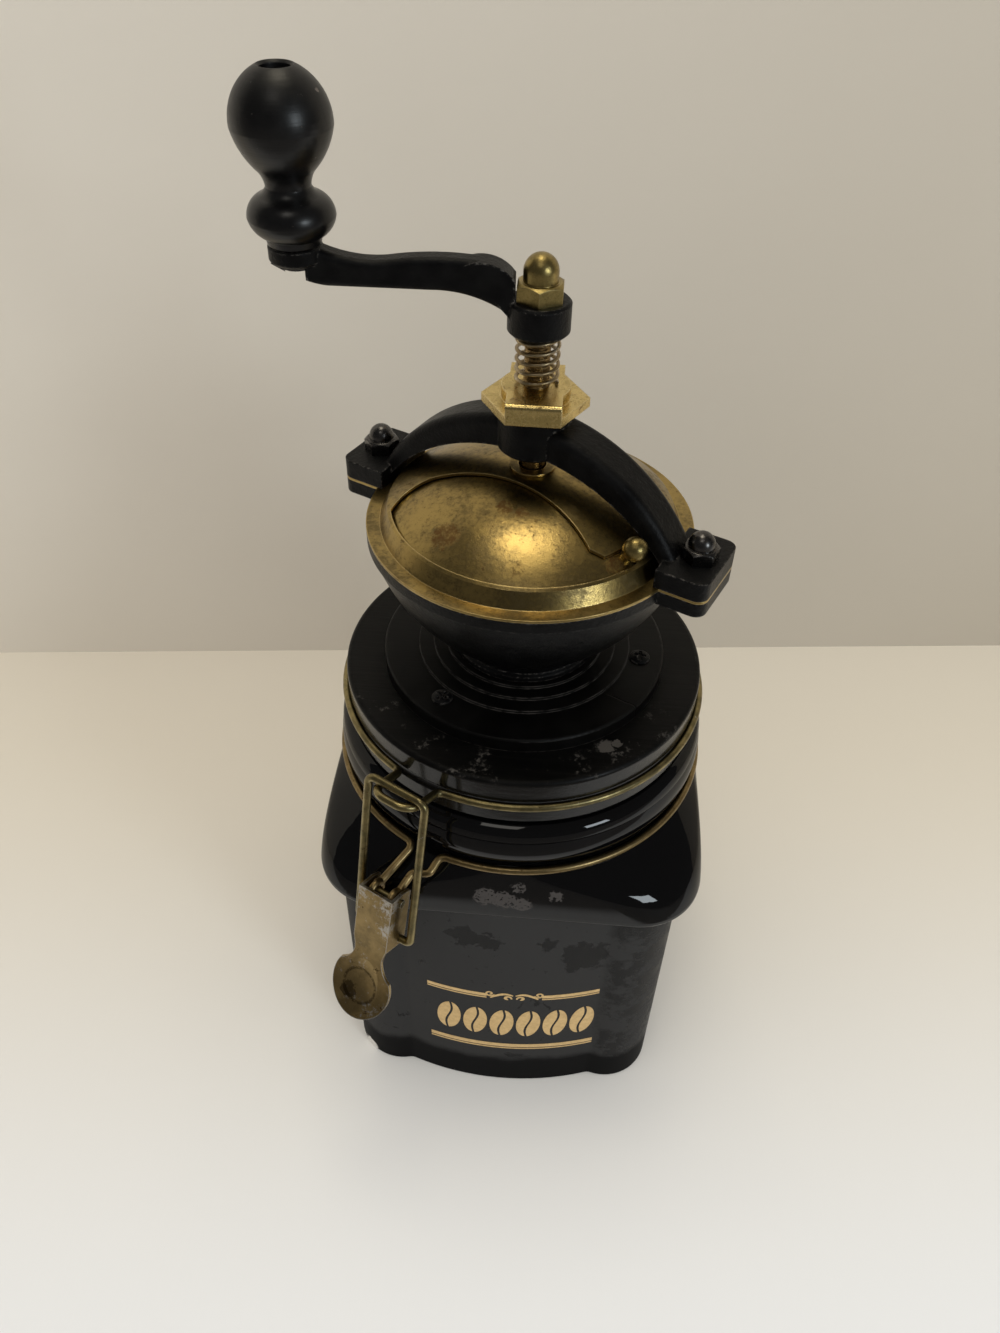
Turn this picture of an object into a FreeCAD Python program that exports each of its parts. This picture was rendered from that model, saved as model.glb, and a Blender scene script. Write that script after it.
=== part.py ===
"""Hand coffee mill on a clip-top ceramic jar: one solid or group of solids for each piece.

Millimetres. The origin is the centre of the jar's base, Z is up and -Y is the front.
Azimuths are seen from above, from +X towards +Y.
"""
import FreeCAD, Part
import math
import os
import re
import Sketcher

Vector = FreeCAD.Vector
UP = Vector(0, 0, 1)
# Degrees from the middle of a hexagon's side to its corner.
HEX_CORNER = 30

SIZES = {
    # ceramic jar: a fluted square body, a wide shoulder and a round neck with a collar
    "jar_width": 110.4,
    "jar_corner": 19.2,
    "waist_in": 0.8,
    "column_width": 24.7,
    "flute_depth": 5,
    "flute_round": 4,
    "column_round": 15.05,
    "foot_round": 1.2,
    "edge_level": 98.4,
    "edge_height": 2.6,
    "edge_round": 1.6,
    "shoulder_height": 15.6,
    "shoulder_in": 3.7,
    "collar_out": 0.7,
    "collar_floor": 119.4,
    "bead_height": 9,
    "bead_round": 8.7,
    "collar_height": 14.1,
    "neck_wall": 8.5,
    "jar_wall": 10,
    "hollow_corner": 12,
    "jar_floor": 6,
    # lid: a turned board with a plug below and a plinth above
    "lid_in": 1.5,
    "lid_height": 15.7,
    "lid_round": 1.4,
    "gasket_height": 0.8,
    "gasket_in": 3,
    "plug_gap": 2,
    "plug_height": 8,
    "lid_bore": 19.6,
    "plinth_radius": 39.1,
    "plinth_height": 4.2,
    "plinth_round": 0.7,
    "ring_outer": 29.4,
    "ring_middle": 25.3,
    "ring_inner": 21.8,
    "ring_step": 0.8,
    "screw_circle": 32.6,
    "screw_angle": -128,
    "screw_head": 2.8,
    "screw_dome": 0.9,
    "screw_shank": 1.4,
    "screw_length": 14,
    "screw_slot": 0.9,
    # wires of the clip
    "wire_radius": 1.1,
    "lid_wire_level": 141.6,
    "lid_wire_gap": 0.6,
    "groove_half": 1.7,
    "groove_round": 1.95,
    "neck_wire_level": 118,
    "neck_wire_gap": 0.3,
    "bend_round": 2.4,
    "pin_fit": 0.08,
    "hinge_gap": 5.8,
    "hinge_level": 133,
    "hinge_half": 9,
    "neck_eye_place": 5,
    # clip at the front left
    "latch_angle": 241.5,
    "hook_half": 6.1,
    "hook_round": 4.4,
    "hook_out": 11.9,
    "hook_level": 145.5,
    "link_half": 8.9,
    "hook_play": 3,
    "link_top_level": 147.2,
    "link_low_out": 1.6,
    "link_low_level": 97.6,
    "lever_gap": 4.79,
    "lever_level": 112,
    "lever_half": 5.5,
    "sheet_wall": 0.9,
    "lever_tilt": 14,
    "lever_front": 4.5,
    "lever_depth": 8.4,
    "lever_heel": 2.2,
    "lever_crest": 3.2,
    "lever_neck": 15,
    "lever_bend": 54,
    "lever_turn": 26.6,
    "neck_half": 4.6,
    "ear_round": 2.1,
    "pad_place": 29.5,
    "pad_half": 9.5,
    "dish_radius": 5.4,
    "dish_depth": 0.45,
    "arm_place": 3,
    "pin_stand": 0.5,
    "arm_bow": 7.8,
    "left_arm_leave": 0.5,
    # hopper, burrs and what carries them
    "foot_radius": 20.1,
    "foot_height": 1.5,
    "hopper_neck": 19.2,
    "hopper_height": 38.7,
    "hopper_radius": 41.5,
    "hopper_wall": 2.8,
    "hopper_belly": 55,
    "rim_height": 3.6,
    "throat_radius": 13.5,
    "housing_radius": 19.2,
    "housing_floor": 130.6,
    "burr_radius": 16.6,
    "burr_height": 22,
    "burr_mouth": 11.5,
    "burr_outlet": 13.6,
    "burr_gap": 0.6,
    "cone_top": 5.6,
    "tooth_depth": 1.2,
    "tooth_count": 12,
    "bar_height": 3,
    "bar_half": 6,
    "bar_reach": 30,
    "bar_screw_place": 24.5,
    "bar_screw_depth": 6.5,
    "burr_pin_radius": 0.9,
    "burr_pin_drop": 3,
    "ear_half": 10.1,
    "ear_height": 3.8,
    "ear_out": 10.1,
    "ear_corner": 3,
    "bolt_out": 4,
    "bolt_radius": 2,
    "bolt_fit": 0.15,
    "bolt_head": 3.9,
    "bolt_head_height": 2.6,
    "ear_nut_half": 4,
    "ear_nut_height": 3.4,
    "ear_nut_dome": 3.2,
    # brass cover, its shutter and the ferrule that holds them together
    "cover_wall": 0.7,
    "flange_width": 3.5,
    "crease_run": 2,
    "dome_level": 4,
    "dome_rise": 11,
    "cover_hole": 4.3,
    "ferrule_radius": 4.1,
    "ferrule_flange": 5.6,
    "shutter_wall": 0.6,
    "shutter_gap": 0.3,
    "shutter_in": 0.6,
    "shutter_hub": 8,
    "shutter_ahead": 7,
    "shutter_behind": 150,
    "opening_in": 0.9,
    "seam_round": 52,
    "seam_tip_round": 11.3,
    "seam_tip_x": -24,
    "seam_tip_y": -0.9,
    "seam_end_in": 6.7,
    "seam_end_angle": -58.2,
    "opening_left_angle": -167,
    "notch_depth": 4.2,
    "notch_angle": -43,
    "stem_radius": 1.4,
    "ball_radius": 3,
    # bridge over the cover
    "bridge_angle": -26,
    "bridge_pad": 5,
    "bridge_pad_in": 2.8,
    "bridge_half": 5.8,
    "arch_crown": 225,
    "arch_depth": 7.5,
    "arch_in": 4.3,
    "arch_round": 2.4,
    "bridge_boss": 8.75,
    "bridge_boss_low": 8.5,
    "bridge_boss_high": 2.5,
    # spindle, adjusting nut, spring and crank
    "spindle_radius": 3,
    "spindle_floor": 123,
    "thread_pitch": 1,
    "thread_depth": 0.35,
    "plate_half": 11,
    "plate_height": 2.2,
    "block_half": 6.4,
    "block_height": 2.8,
    "block_round": 1.2,
    "seat_radius": 8.1,
    "spring_radius": 4.75,
    "spring_wire": 0.45,
    "spring_height": 12.5,
    "spring_turns": 5,
    "crank_angle": 182,
    "crank_boss": 7.1,
    "crank_boss_height": 7.5,
    "arm_half": 2.8,
    "arm_rise": 16.2,
    "arm_depth": 6.8,
    "arm_reach": 52.3,
    "arm_round": 1.5,
    "arm_pad": 5.85,
    "arm_pad_height": 3.6,
    "arm_pad_rise": 1.4,
    "nut_half": 5,
    "nut_height": 4,
    "nut_dome": 3.9,
    "nut_total": 10,
    # turned wooden knob and its bolt
    "knob_gap": 0.3,
    "knob_foot": 5.75,
    "knob_bulge": 9.25,
    "knob_bulge_level": 5.4,
    "knob_neck": 4.7,
    "knob_neck_level": 11.3,
    "knob_radius": 10.3,
    "knob_belly_level": 22.6,
    "knob_height": 33.2,
    "knob_hole": 3.05,
    "knob_hole_depth": 6,
    "knob_bolt_radius": 2,
}

doc = FreeCAD.newDocument("coffee_mill")
sheet = doc.addObject("Spreadsheet::Sheet", "sizes")
for row, (alias, size) in enumerate(SIZES.items(), 1):
    sheet.set(f"A{row}", alias)
    sheet.set(f"B{row}", str(size))
    sheet.setAlias(f"B{row}", alias)
doc.recompute()

# Lengths and levels that follow from the driving sizes, as formulas of them.
LEVELS = {
    "waist_width": "(jar_width - 2 * waist_in)",
    "flute_place": "(jar_width / 2 - column_width)",
    "hollow_width": "(jar_width - 2 * jar_wall)",
    "neck_radius": "(jar_width / 2 - shoulder_in)",
    "collar_radius": "(neck_radius + collar_out)",
    "mouth_radius": "(neck_radius - neck_wall)",
    "lid_radius": "(neck_radius - lid_in)",
    "gasket_radius": "(lid_radius - gasket_in)",
    "plug_radius": "(mouth_radius - plug_gap)",
    "edge_top": "(edge_level + edge_height)",
    "shoulder_top": "(edge_level + edge_height + shoulder_height)",
    "bead_top": "(collar_floor + bead_height)",
    "collar_top": "(collar_floor + collar_height)",
    "lid_floor": "(collar_floor + collar_height + gasket_height)",
    "lid_top": "(collar_floor + collar_height + gasket_height + lid_height)",
    "plug_floor": "(collar_floor + collar_height + gasket_height - plug_height)",
    "lid_wire_ring": "(lid_radius + lid_wire_gap)",
    "neck_wire_ring": "(neck_radius + neck_wire_gap + wire_radius)",
    "hinge_reach": "(collar_radius + hinge_gap)",
    "hook_reach": "(lid_wire_ring + hook_out)",
    "link_top_reach": "(hook_reach - hook_play)",
    "clip_face": "(jar_width / 2 / cos((270 - latch_angle) * 1 deg))",
    "lever_reach": "(clip_face + lever_gap)",
    "link_low_reach": "(lever_reach + link_low_out)",
    "bolt_place": "(hopper_radius + bolt_out)",
    "ear_reach": "(hopper_radius + ear_out)",
    "cover_crease": "(hopper_radius - flange_width)",
    "dome_radius": "(cover_crease - crease_run)",
    "shutter_edge": "(dome_radius - shutter_in)",
    "opening_radius": "(dome_radius - opening_in)",
    "seam_end_radius": "(opening_radius - seam_end_in)",
    "notch_inner": "(opening_radius - notch_depth)",
    "stem_place": "(opening_radius - notch_depth / 2)",
    "bridge_pad_start": "(hopper_radius - bridge_pad_in)",
    "arch_foot": "(bolt_place - arch_in)",
    "plinth_top": "(lid_top + plinth_height)",
    "foot_level": "(plinth_top + 3 * ring_step)",
    "rim_top": "(foot_level + hopper_height)",
    "cover_top": "(rim_top + cover_wall)",
    "dome_foot": "(cover_top + dome_level)",
    "dome_round": "((dome_radius ^ 2 + dome_rise ^ 2) / (2 * dome_rise))",
    "dome_centre": "(dome_foot + dome_rise - dome_round)",
    "shutter_round": "(dome_round - cover_wall - shutter_gap)",
    "pad_top": "(cover_top + bridge_pad)",
    "arch_floor": "(arch_crown - arch_depth)",
    "bridge_top": "(arch_crown + bridge_boss_high)",
    "plate_top": "(bridge_top + plate_height)",
    "nut_seat": "(plate_top + block_height)",
    "crank_floor": "(nut_seat + spring_height)",
    "crank_top": "(crank_floor + crank_boss_height)",
    "arm_top": "(crank_floor + arm_rise)",
    "arm_pad_top": "(arm_top + arm_pad_rise)",
    "knob_floor": "(arm_pad_top + knob_gap)",
    "burr_top": "(housing_floor + burr_height)",
    "bar_floor": "(plug_floor - bar_height)",
    "spindle_bore": "(spindle_radius + pin_fit)",
    "eye_ring": "(2 * wire_radius + pin_fit)",
    "link_x": "((link_low_reach - lever_reach) * cos(lever_tilt * 1 deg)"
              " + (link_low_level - lever_level) * sin(lever_tilt * 1 deg))",
    "link_z": "((link_low_level - lever_level) * cos(lever_tilt * 1 deg)"
              " - (link_low_reach - lever_reach) * sin(lever_tilt * 1 deg))",
    "lever_inner": "(lever_front - sheet_wall)",
}
word = re.compile(r"[A-Za-z_]\w*")


def cells(formula):
    """The formula with each named level written out and each size taken from the sheet."""
    text = str(formula)
    while any(name in LEVELS for name in word.findall(text)):
        text = word.sub(lambda match: LEVELS.get(match.group(), match.group()), text)
    return word.sub(lambda match: ("sizes." if match.group() in SIZES else "") + match.group(), text)


def value(formula):
    """The formula's present value."""
    number = sheet.evalExpression(cells(formula))
    return float(getattr(number, "Value", number))


def point(*formulas):
    """A vector from three formulas."""
    return Vector(*(value(formula) for formula in formulas))


def new_body(label, angle=0):
    """An empty body, turned about Z by the angle."""
    body = doc.addObject("PartDesign::Body", label)
    body.Label = label
    body.AllowCompound = True
    body.setExpression("Placement.Rotation.Angle", cells(angle))
    return body


def origin(body, role):
    """The body's own plane or axis with that role."""
    return next(item for item in body.Origin.OriginFeatures if item.Role == role)


def edge_between(start, end, radius):
    """A line, or the arc of that radius whose centre is left of the way for a positive one."""
    if not radius:
        return Part.LineSegment(start, end)
    left = Vector(start.y - end.y, end.x - start.x, 0).normalize()
    height = math.sqrt(max(radius ** 2 - (end - start).Length ** 2 / 4, 0))
    centre = (start + end) / 2 + left * math.copysign(height, radius)
    first, last = (start, end) if radius > 0 else (end, start)
    first_angle = math.atan2(first.y - centre.y, first.x - centre.x)
    last_angle = math.atan2(last.y - centre.y, last.x - centre.x)
    if last_angle <= first_angle:
        last_angle += 2 * math.pi
    return Part.ArcOfCircle(Part.Circle(centre, UP, abs(radius)), first_angle, last_angle)


def bind(item, name, formula):
    """Tie a property of the item to the sheet."""
    item.setExpression(name, cells(formula))


def draw_loop(sketch, loop):
    """Draw a closed outline of (x, y) or (x, y, radius of the arc that starts there)."""
    first = sketch.GeometryCount
    count = len(loop)
    corners = [point(corner[0], corner[1], 0) for corner in loop]
    radii = [value(corner[2]) if len(corner) > 2 else 0 for corner in loop]
    for index in range(count):
        sketch.addGeometry(edge_between(corners[index], corners[(index + 1) % count], radii[index]), False)
    heads = [2 if radius < 0 else 1 for radius in radii]
    for index, corner in enumerate(loop):
        after = (index + 1) % count
        sketch.addConstraint(Sketcher.Constraint(
            "Coincident", first + index, 3 - heads[index], first + after, heads[after]))
        for kind, formula in zip(("DistanceX", "DistanceY"), corner):
            place = sketch.addConstraint(Sketcher.Constraint(
                kind, -1, 1, first + index, heads[index], value(formula)))
            bind(sketch, f"Constraints[{place}]", formula)
        if radii[index]:
            place = sketch.addConstraint(Sketcher.Constraint("Radius", first + index, abs(radii[index])))
            bind(sketch, f"Constraints[{place}]", f"abs({corner[2]})")


def draw_circle(sketch, x, y, radius):
    """Draw a circle."""
    centre = point(x, y, 0)
    index = sketch.addGeometry(Part.Circle(centre, UP, value(radius)), False)
    for kind, formula in (("DistanceX", x), ("DistanceY", y)):
        place = sketch.addConstraint(Sketcher.Constraint(kind, -1, 1, index, 3, value(formula)))
        bind(sketch, f"Constraints[{place}]", formula)
    place = sketch.addConstraint(Sketcher.Constraint("Radius", index, value(radius)))
    bind(sketch, f"Constraints[{place}]", radius)


def new_sketch(body, role, *loops, level=0, shift=0, rise=0, turn=0):
    """A sketch on a plane of the body: outlines as lists, circles as (x, y, radius) tuples."""
    sketch = body.newObject("Sketcher::SketchObject", body.Label + "_sketch")
    sketch.AttachmentSupport = [(origin(body, role), "")]
    sketch.MapMode = "FlatFace"
    for name, formula in (("Base.z", level), ("Base.x", shift), ("Base.y", rise), ("Rotation.Angle", turn)):
        if formula:
            bind(sketch, "AttachmentOffset." + name, formula)
    for loop in loops:
        if isinstance(loop, tuple):
            draw_circle(sketch, *loop)
        else:
            draw_loop(sketch, loop)
    return sketch


def add_feature(body, kind, sketch, length=None, angle=None, reverse=False, both=False):
    """A pad, pocket, revolution or groove of the sketch; a groove must take something away."""
    doc.recompute()
    before = body.Shape.Volume if body.Tip else 0
    feature = body.newObject("PartDesign::" + kind, body.Label + "_" + kind.lower())
    feature.Profile = sketch
    if length is not None:
        bind(feature, "Length", length)
    if kind in ("Revolution", "Groove"):
        feature.ReferenceAxis = (sketch, ["V_Axis"])
        bind(feature, "Angle", 360 if angle is None else angle)
    feature.Reversed = reverse
    feature.Midplane = both
    sketch.Visibility = False
    doc.recompute()
    if kind in ("Pocket", "Groove") and not body.Shape.Volume < before - 0.01:
        raise RuntimeError(f"{feature.Label} cuts nothing")
    return feature


def turn_up(body, outline, kind="Revolution", angle=None, reverse=False, **place):
    """Turn an (r, z) outline about its own upright axis, which stands where the place says."""
    sketch = new_sketch(body, "XZ_Plane", outline, **place)
    return add_feature(body, kind, sketch, angle=angle, reverse=reverse)


def raise_plate(body, *loops, level, height, turn=0):
    """Raise outlines drawn from above, from the level upwards."""
    return add_feature(body, "Pad", new_sketch(body, "XY_Plane", *loops, level=level, turn=turn), height)


def cut_up(body, *loops, level, height, turn=0):
    """Cut outlines drawn from above, from the level upwards."""
    sketch = new_sketch(body, "XY_Plane", *loops, level=level, turn=turn)
    return add_feature(body, "Pocket", sketch, height, reverse=True)


def repeat_round(body, features, count):
    """Repeat the features evenly about the body's vertical axis."""
    pattern = body.newObject("PartDesign::PolarPattern", body.Label + "_pattern")
    pattern.Originals = features
    pattern.Axis = (origin(body, "Z_Axis"), [""])
    pattern.Angle = 360
    bind(pattern, "Occurrences", count)
    body.Tip = pattern
    doc.recompute()
    return pattern


def round_edges(body, radius, wanted, kind="Fillet"):
    """Round or bevel the edges of the body's tip for which wanted(edge) holds."""
    doc.recompute()
    tip = body.Tip
    names = [f"Edge{number}" for number, edge in enumerate(tip.Shape.Edges, 1) if wanted(edge)]
    if not names:
        raise RuntimeError(f"{body.Label}: no edge to round")
    feature = body.newObject("PartDesign::" + kind, body.Label + "_" + kind.lower())
    feature.Base = (tip, names)
    bind(feature, "Size" if kind == "Chamfer" else "Radius", radius)
    doc.recompute()
    return feature


def rise_round(half, height):
    """Radius of the arc that rises by the height over that half span."""
    return f"((({half}) ^ 2 + ({height}) ^ 2) / (2 * ({height})))"


def box_loop(x_low, x_high, y_low, y_high):
    """A rectangle."""
    return [(x_low, y_low), (x_high, y_low), (x_high, y_high), (x_low, y_high)]


def hexagon(half, place="0", turn=0):
    """A hexagon with that half width across flats, centred at the place along X."""
    return [(f"{place} + {half} / cos(30 deg) * cos({60 * step + turn} deg)",
             f"{half} / cos(30 deg) * sin({60 * step + turn} deg)") for step in range(6)]


def square_loop(side, place, side_round, corner_round):
    """A square outline: sides at the distance side, from -place to place, and an arc at each corner."""
    corners = [(f"({side})", f"-({place})", side_round), (f"({side})", f"({place})", corner_round)]
    loop = []
    for _ in range(4):
        loop += corners
        corners = [(f"-{y}" if y.startswith("(") else y[1:], x, radius) for x, y, radius in corners]
    return loop


def round_square(half, corner):
    """A square with round corners."""
    return square_loop(half, f"{half} - {corner}", "0", corner)


def placed(shape, label, angle=0):
    """A sub-part whose shape comes from the functions below, turned about Z by the angle."""
    feature = doc.addObject("Part::Feature", label)
    feature.Label = label
    feature.Shape = shape
    feature.Placement = FreeCAD.Placement(Vector(), FreeCAD.Rotation(UP, value(angle)))
    return feature


def bent_path(points, radius):
    """Edges along the points, with the inner corners rounded to the radius or to a list of them."""
    radii = radius if isinstance(radius, list) else [radius] * len(points)
    edges = []
    start = points[0]
    for before, corner, after, round_to in zip(points, points[1:], points[2:], radii):
        inward = (before - corner).normalize()
        outward = (after - corner).normalize()
        half_turn = inward.getAngle(outward) / 2
        run = round_to / math.tan(half_turn)
        centre = corner + (inward + outward).normalize() * (round_to / math.sin(half_turn))
        enter = corner + inward * run
        leave = corner + outward * run
        edges.append(Part.LineSegment(start, enter).toShape())
        edges.append(Part.Arc(enter, centre + (corner - centre).normalize() * round_to, leave).toShape())
        start = leave
    return edges + [Part.LineSegment(start, points[-1]).toShape()]


def wire_along(edges, radius):
    """Round wire along the edges."""
    start = edges[0].valueAt(edges[0].FirstParameter)
    heading = edges[0].tangentAt(edges[0].FirstParameter)
    section = Part.Wire(Part.makeCircle(radius, start, heading))
    return Part.Wire(edges).makePipeShell([section], True, False)


def ring_arc(radius, level, start, end):
    """An arc about Z from the start angle to the end angle, in degrees."""
    def at(angle):
        return Vector(radius * math.cos(math.radians(angle)), radius * math.sin(math.radians(angle)), level)
    return Part.Arc(at(start), at((start + end) / 2), at(end)).toShape()


# Jar


def add_loft(body, sketches):
    """A smooth loft through the sketches."""
    loft = body.newObject("PartDesign::AdditiveLoft", body.Label + "_loft")
    loft.Profile = sketches[0]
    loft.Sections = sketches[1:]
    loft.Ruled = len(sketches) == 2
    doc.recompute()
    return loft


def make_jar():
    """Glazed walls and floor of the jar: bulging faces, round corner columns, and the hollow for the coffee."""
    body = new_body("ceramic_jar")
    # Bulging faces between round corner columns, with a flute on each side of a column.
    raise_plate(body, square_loop(
        "waist_width / 2 - flute_depth", "flute_place",
        "(flute_place ^ 2 + flute_depth ^ 2) / (2 * flute_depth)", "column_round"),
        level="0", height="edge_level")
    round_edges(body, "flute_round", lambda edge: edge.BoundBox.ZLength > 1)
    round_edges(body, "foot_round", lambda edge: edge.BoundBox.ZMax < 0.01)
    cut_up(body, round_square("hollow_width / 2", "hollow_corner"), level="jar_floor",
           height="edge_level - jar_floor + 1")
    return body


def make_jar_neck():
    """Overhanging shoulder, neck and collar of the jar, of one glazed piece with its walls, and the mouth."""
    body = new_body("ceramic_neck")
    raise_plate(body, round_square("jar_width / 2", "jar_corner"), level="edge_level", height="edge_height")
    edge_level = value("edge_level")
    round_edges(body, "edge_round", lambda edge: edge.BoundBox.ZMax < edge_level + 0.01)
    shoulder = (("0", "jar_width / 2", "jar_corner"),
                ("0.24", "jar_width / 2 - 0.2", "jar_corner + 3"),
                ("0.6", "jar_width / 2 - 0.9", "jar_corner + 14"),
                ("1", "neck_radius + 1", "neck_radius"))
    add_loft(body, [new_sketch(body, "XY_Plane", round_square(f"({half})", f"({corner})"),
                               level=f"edge_top + {share} * shoulder_height")
                    for share, half, corner in shoulder])
    turn_up(body, [
        ("0", "edge_level"), ("neck_radius", "edge_level"), ("neck_radius", "collar_floor", "bead_round"),
        ("collar_radius", "bead_top"), ("collar_radius + 0.4", "bead_top + 1", "4.4"),
        ("collar_radius - 2.4", "collar_top"), ("0", "collar_top")])
    turn_up(body, [
        ("0", "edge_level - 1"), ("mouth_radius", "edge_level - 1"), ("mouth_radius", "collar_top - 1"),
        ("mouth_radius + 1", "collar_top"), ("mouth_radius + 1", "collar_top + 5"), ("0", "collar_top + 5")],
        kind="Groove")
    return body


def ring_leave(ring, level, side, place, run):
    """Where a wire ring leaves for a corner at the place across: its angle, that point and the corner."""
    across = place + run
    angle = math.degrees(math.asin(across / ring))
    start = Vector(ring * math.cos(math.radians(angle)), across * side, level)
    corner = Vector(start.x + run * across / start.x, place * side, level)
    return angle * side, start, corner


def make_neck_wire():
    """Wire round the jar's neck: two arms to the lever's pin in front, two eyes for the hinge behind."""
    radius = value("wire_radius")
    ring = value("neck_wire_ring")
    level = value("neck_wire_level")
    bend = value("bend_round")
    run = bend * 1.7
    eye = value("eye_ring")
    seat = point("lever_reach", "0", "lever_level")
    place = value("arm_place")
    hinge_eye = value("neck_eye_place")
    solids = []
    right_angle, right_start, right_corner = ring_leave(ring, level, 1, value("arm_bow"), run)
    left_angle, left_start, left_corner = ring_leave(ring, level, -1, value("left_arm_leave"), run)
    drop = (level - seat.z) / (seat.x - ring)

    def on_slope(reach, across):
        return Vector(reach, across, level - drop * (reach - ring))
    right = [right_start, right_corner, on_slope(ring + 4.8, value("arm_bow")),
             on_slope(ring + 6.8, place + 0.4), on_slope(seat.x - eye, place)]
    left = [left_start, left_corner, on_slope(seat.x - eye, -place)]
    for side, angle, points in ((1, right_angle, right), (-1, left_angle, left)):
        path = [ring_arc(ring, level, 180 * side, angle)] + bent_path(points, [bend, 1.6, 1.6])
        solids.append(wire_along(path, radius))
        solids.append(Part.makeTorus(eye, radius, Vector(seat.x, place * side, seat.z), Vector(0, 1, 0)))
        start = Vector(-math.sqrt(ring ** 2 - hinge_eye ** 2), hinge_eye * side, level)
        hinge = Vector(-value("hinge_reach"), start.y, value("hinge_level"))
        foot = hinge + (start - hinge).normalize() * eye
        solids.append(Part.makeCylinder(radius * 0.96, (foot - start).Length, start, foot - start))
        solids.append(Part.makeTorus(eye, radius, hinge, Vector(0, 1, 0)))
    return placed(solids[0].multiFuse(solids[1:]).removeSplitter(), "neck_wire", "latch_angle")


def make_lever_pin():
    """Pin through the lever's walls and the neck wire's eyes."""
    pin = doc.addObject("Part::Cylinder", "lever_pin_rod")
    bind(pin, "Radius", "wire_radius")
    bind(pin, "Height", "2 * (lever_half + pin_stand)")
    pin.Placement = FreeCAD.Placement(Vector(), FreeCAD.Rotation(Vector(1, 0, 0), -90))
    bind(pin, "Placement.Base.x", "lever_reach")
    bind(pin, "Placement.Base.y", "-lever_half - pin_stand")
    bind(pin, "Placement.Base.z", "lever_level")
    return turned_copy("lever_pin", pin, "latch_angle")


def turned_copy(label, source, angle):
    """The source turned about Z by the angle, as the sub-part with that label."""
    compound = doc.addObject("Part::Compound", label)
    compound.Label = label
    compound.Links = [source]
    bind(compound, "Placement.Rotation.Angle", angle)
    source.Visibility = False
    return compound


# Lid


def make_lid_board():
    """Turned board with the groove for the lid wire."""
    body = new_body("lid_board")
    turn_up(body, [
        ("lid_bore", "lid_floor"), ("lid_radius - lid_round", "lid_floor", "lid_round"),
        ("lid_radius", "lid_floor + lid_round"),
        ("lid_radius", "lid_wire_level - groove_half", "-groove_round"),
        ("lid_radius", "lid_wire_level + groove_half"), ("lid_radius", "lid_top - lid_round", "lid_round"),
        ("lid_radius - lid_round", "lid_top"), ("lid_bore", "lid_top")])
    cut_up(body, *screw_holes("screw_shank", 3), level="plinth_top - screw_length",
           height="screw_length - plinth_height", turn="screw_angle")
    return body


def make_lid_plug():
    """Plug that drops into the jar's mouth."""
    body = new_body("lid_plug")
    turn_up(body, [
        ("lid_bore", "plug_floor"), ("plug_radius - 2", "plug_floor"), ("plug_radius", "plug_floor + 2"),
        ("plug_radius", "lid_floor"), ("lid_bore", "lid_floor")])
    cut_up(body, *bar_circles("screw_shank"), level="plug_floor", height="bar_screw_depth",
           turn="bridge_angle")
    return body


def bar_circles(radius):
    """Circles for the bearing bar's screws."""
    return [("bar_screw_place", "0", radius), ("-bar_screw_place", "0", radius)]


def make_lid_gasket():
    """Flat ring between the jar's mouth and the lid."""
    body = new_body("lid_gasket")
    turn_up(body, [("plug_radius", "collar_top"), ("gasket_radius", "collar_top"),
                   ("gasket_radius", "lid_floor"), ("plug_radius", "lid_floor")])
    return body


def make_plinth():
    """Turned disc with three raised steps, under the hopper's foot."""
    body = new_body("plinth_disc")
    outline = [("lid_bore", "lid_top"), ("plinth_radius", "lid_top"),
               ("plinth_radius", "plinth_top - plinth_round", "plinth_round"),
               ("plinth_radius - plinth_round", "plinth_top")]
    for step, ring in enumerate(("ring_outer", "ring_middle", "ring_inner")):
        outline += [(ring, f"plinth_top + {step} * ring_step"),
                    (ring, f"plinth_top + {step + 1} * ring_step")]
    turn_up(body, outline + [("lid_bore", "foot_level")])
    cut_up(body, *screw_holes("screw_shank", 3), level="lid_top", height="plinth_height", turn="screw_angle")
    return body


def screw_holes(radius, count):
    """Circles for the plinth's screws."""
    return [(f"screw_circle * cos({360 * step / count} deg)", f"screw_circle * sin({360 * step / count} deg)",
             radius) for step in range(count)]


def make_plinth_screws():
    """Three cross-slotted screws that hold the plinth to the lid."""
    body = new_body("plinth_screws", "screw_angle")
    shank = turn_up(body, [
        ("0", "plinth_top - screw_length"), ("screw_shank", "plinth_top - screw_length + 2"),
        ("screw_shank", "plinth_top"), ("screw_head", "plinth_top"),
        ("screw_head", "plinth_top + 0.5", rise_round("screw_head", "screw_dome")),
        ("0", "plinth_top + 0.5 + screw_dome")], shift="screw_circle")
    slots = [cut_up(body, box_loop(f"screw_circle - {along}", f"screw_circle + {along}",
                                   f"-{across}", across), level="plinth_top + 0.4", height="2")
             for along, across in (("screw_head * 0.65", "screw_slot / 2"),
                                   ("screw_slot / 2", "screw_head * 0.65"))]
    repeat_round(body, [shank] + slots, "3")
    return body


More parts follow.
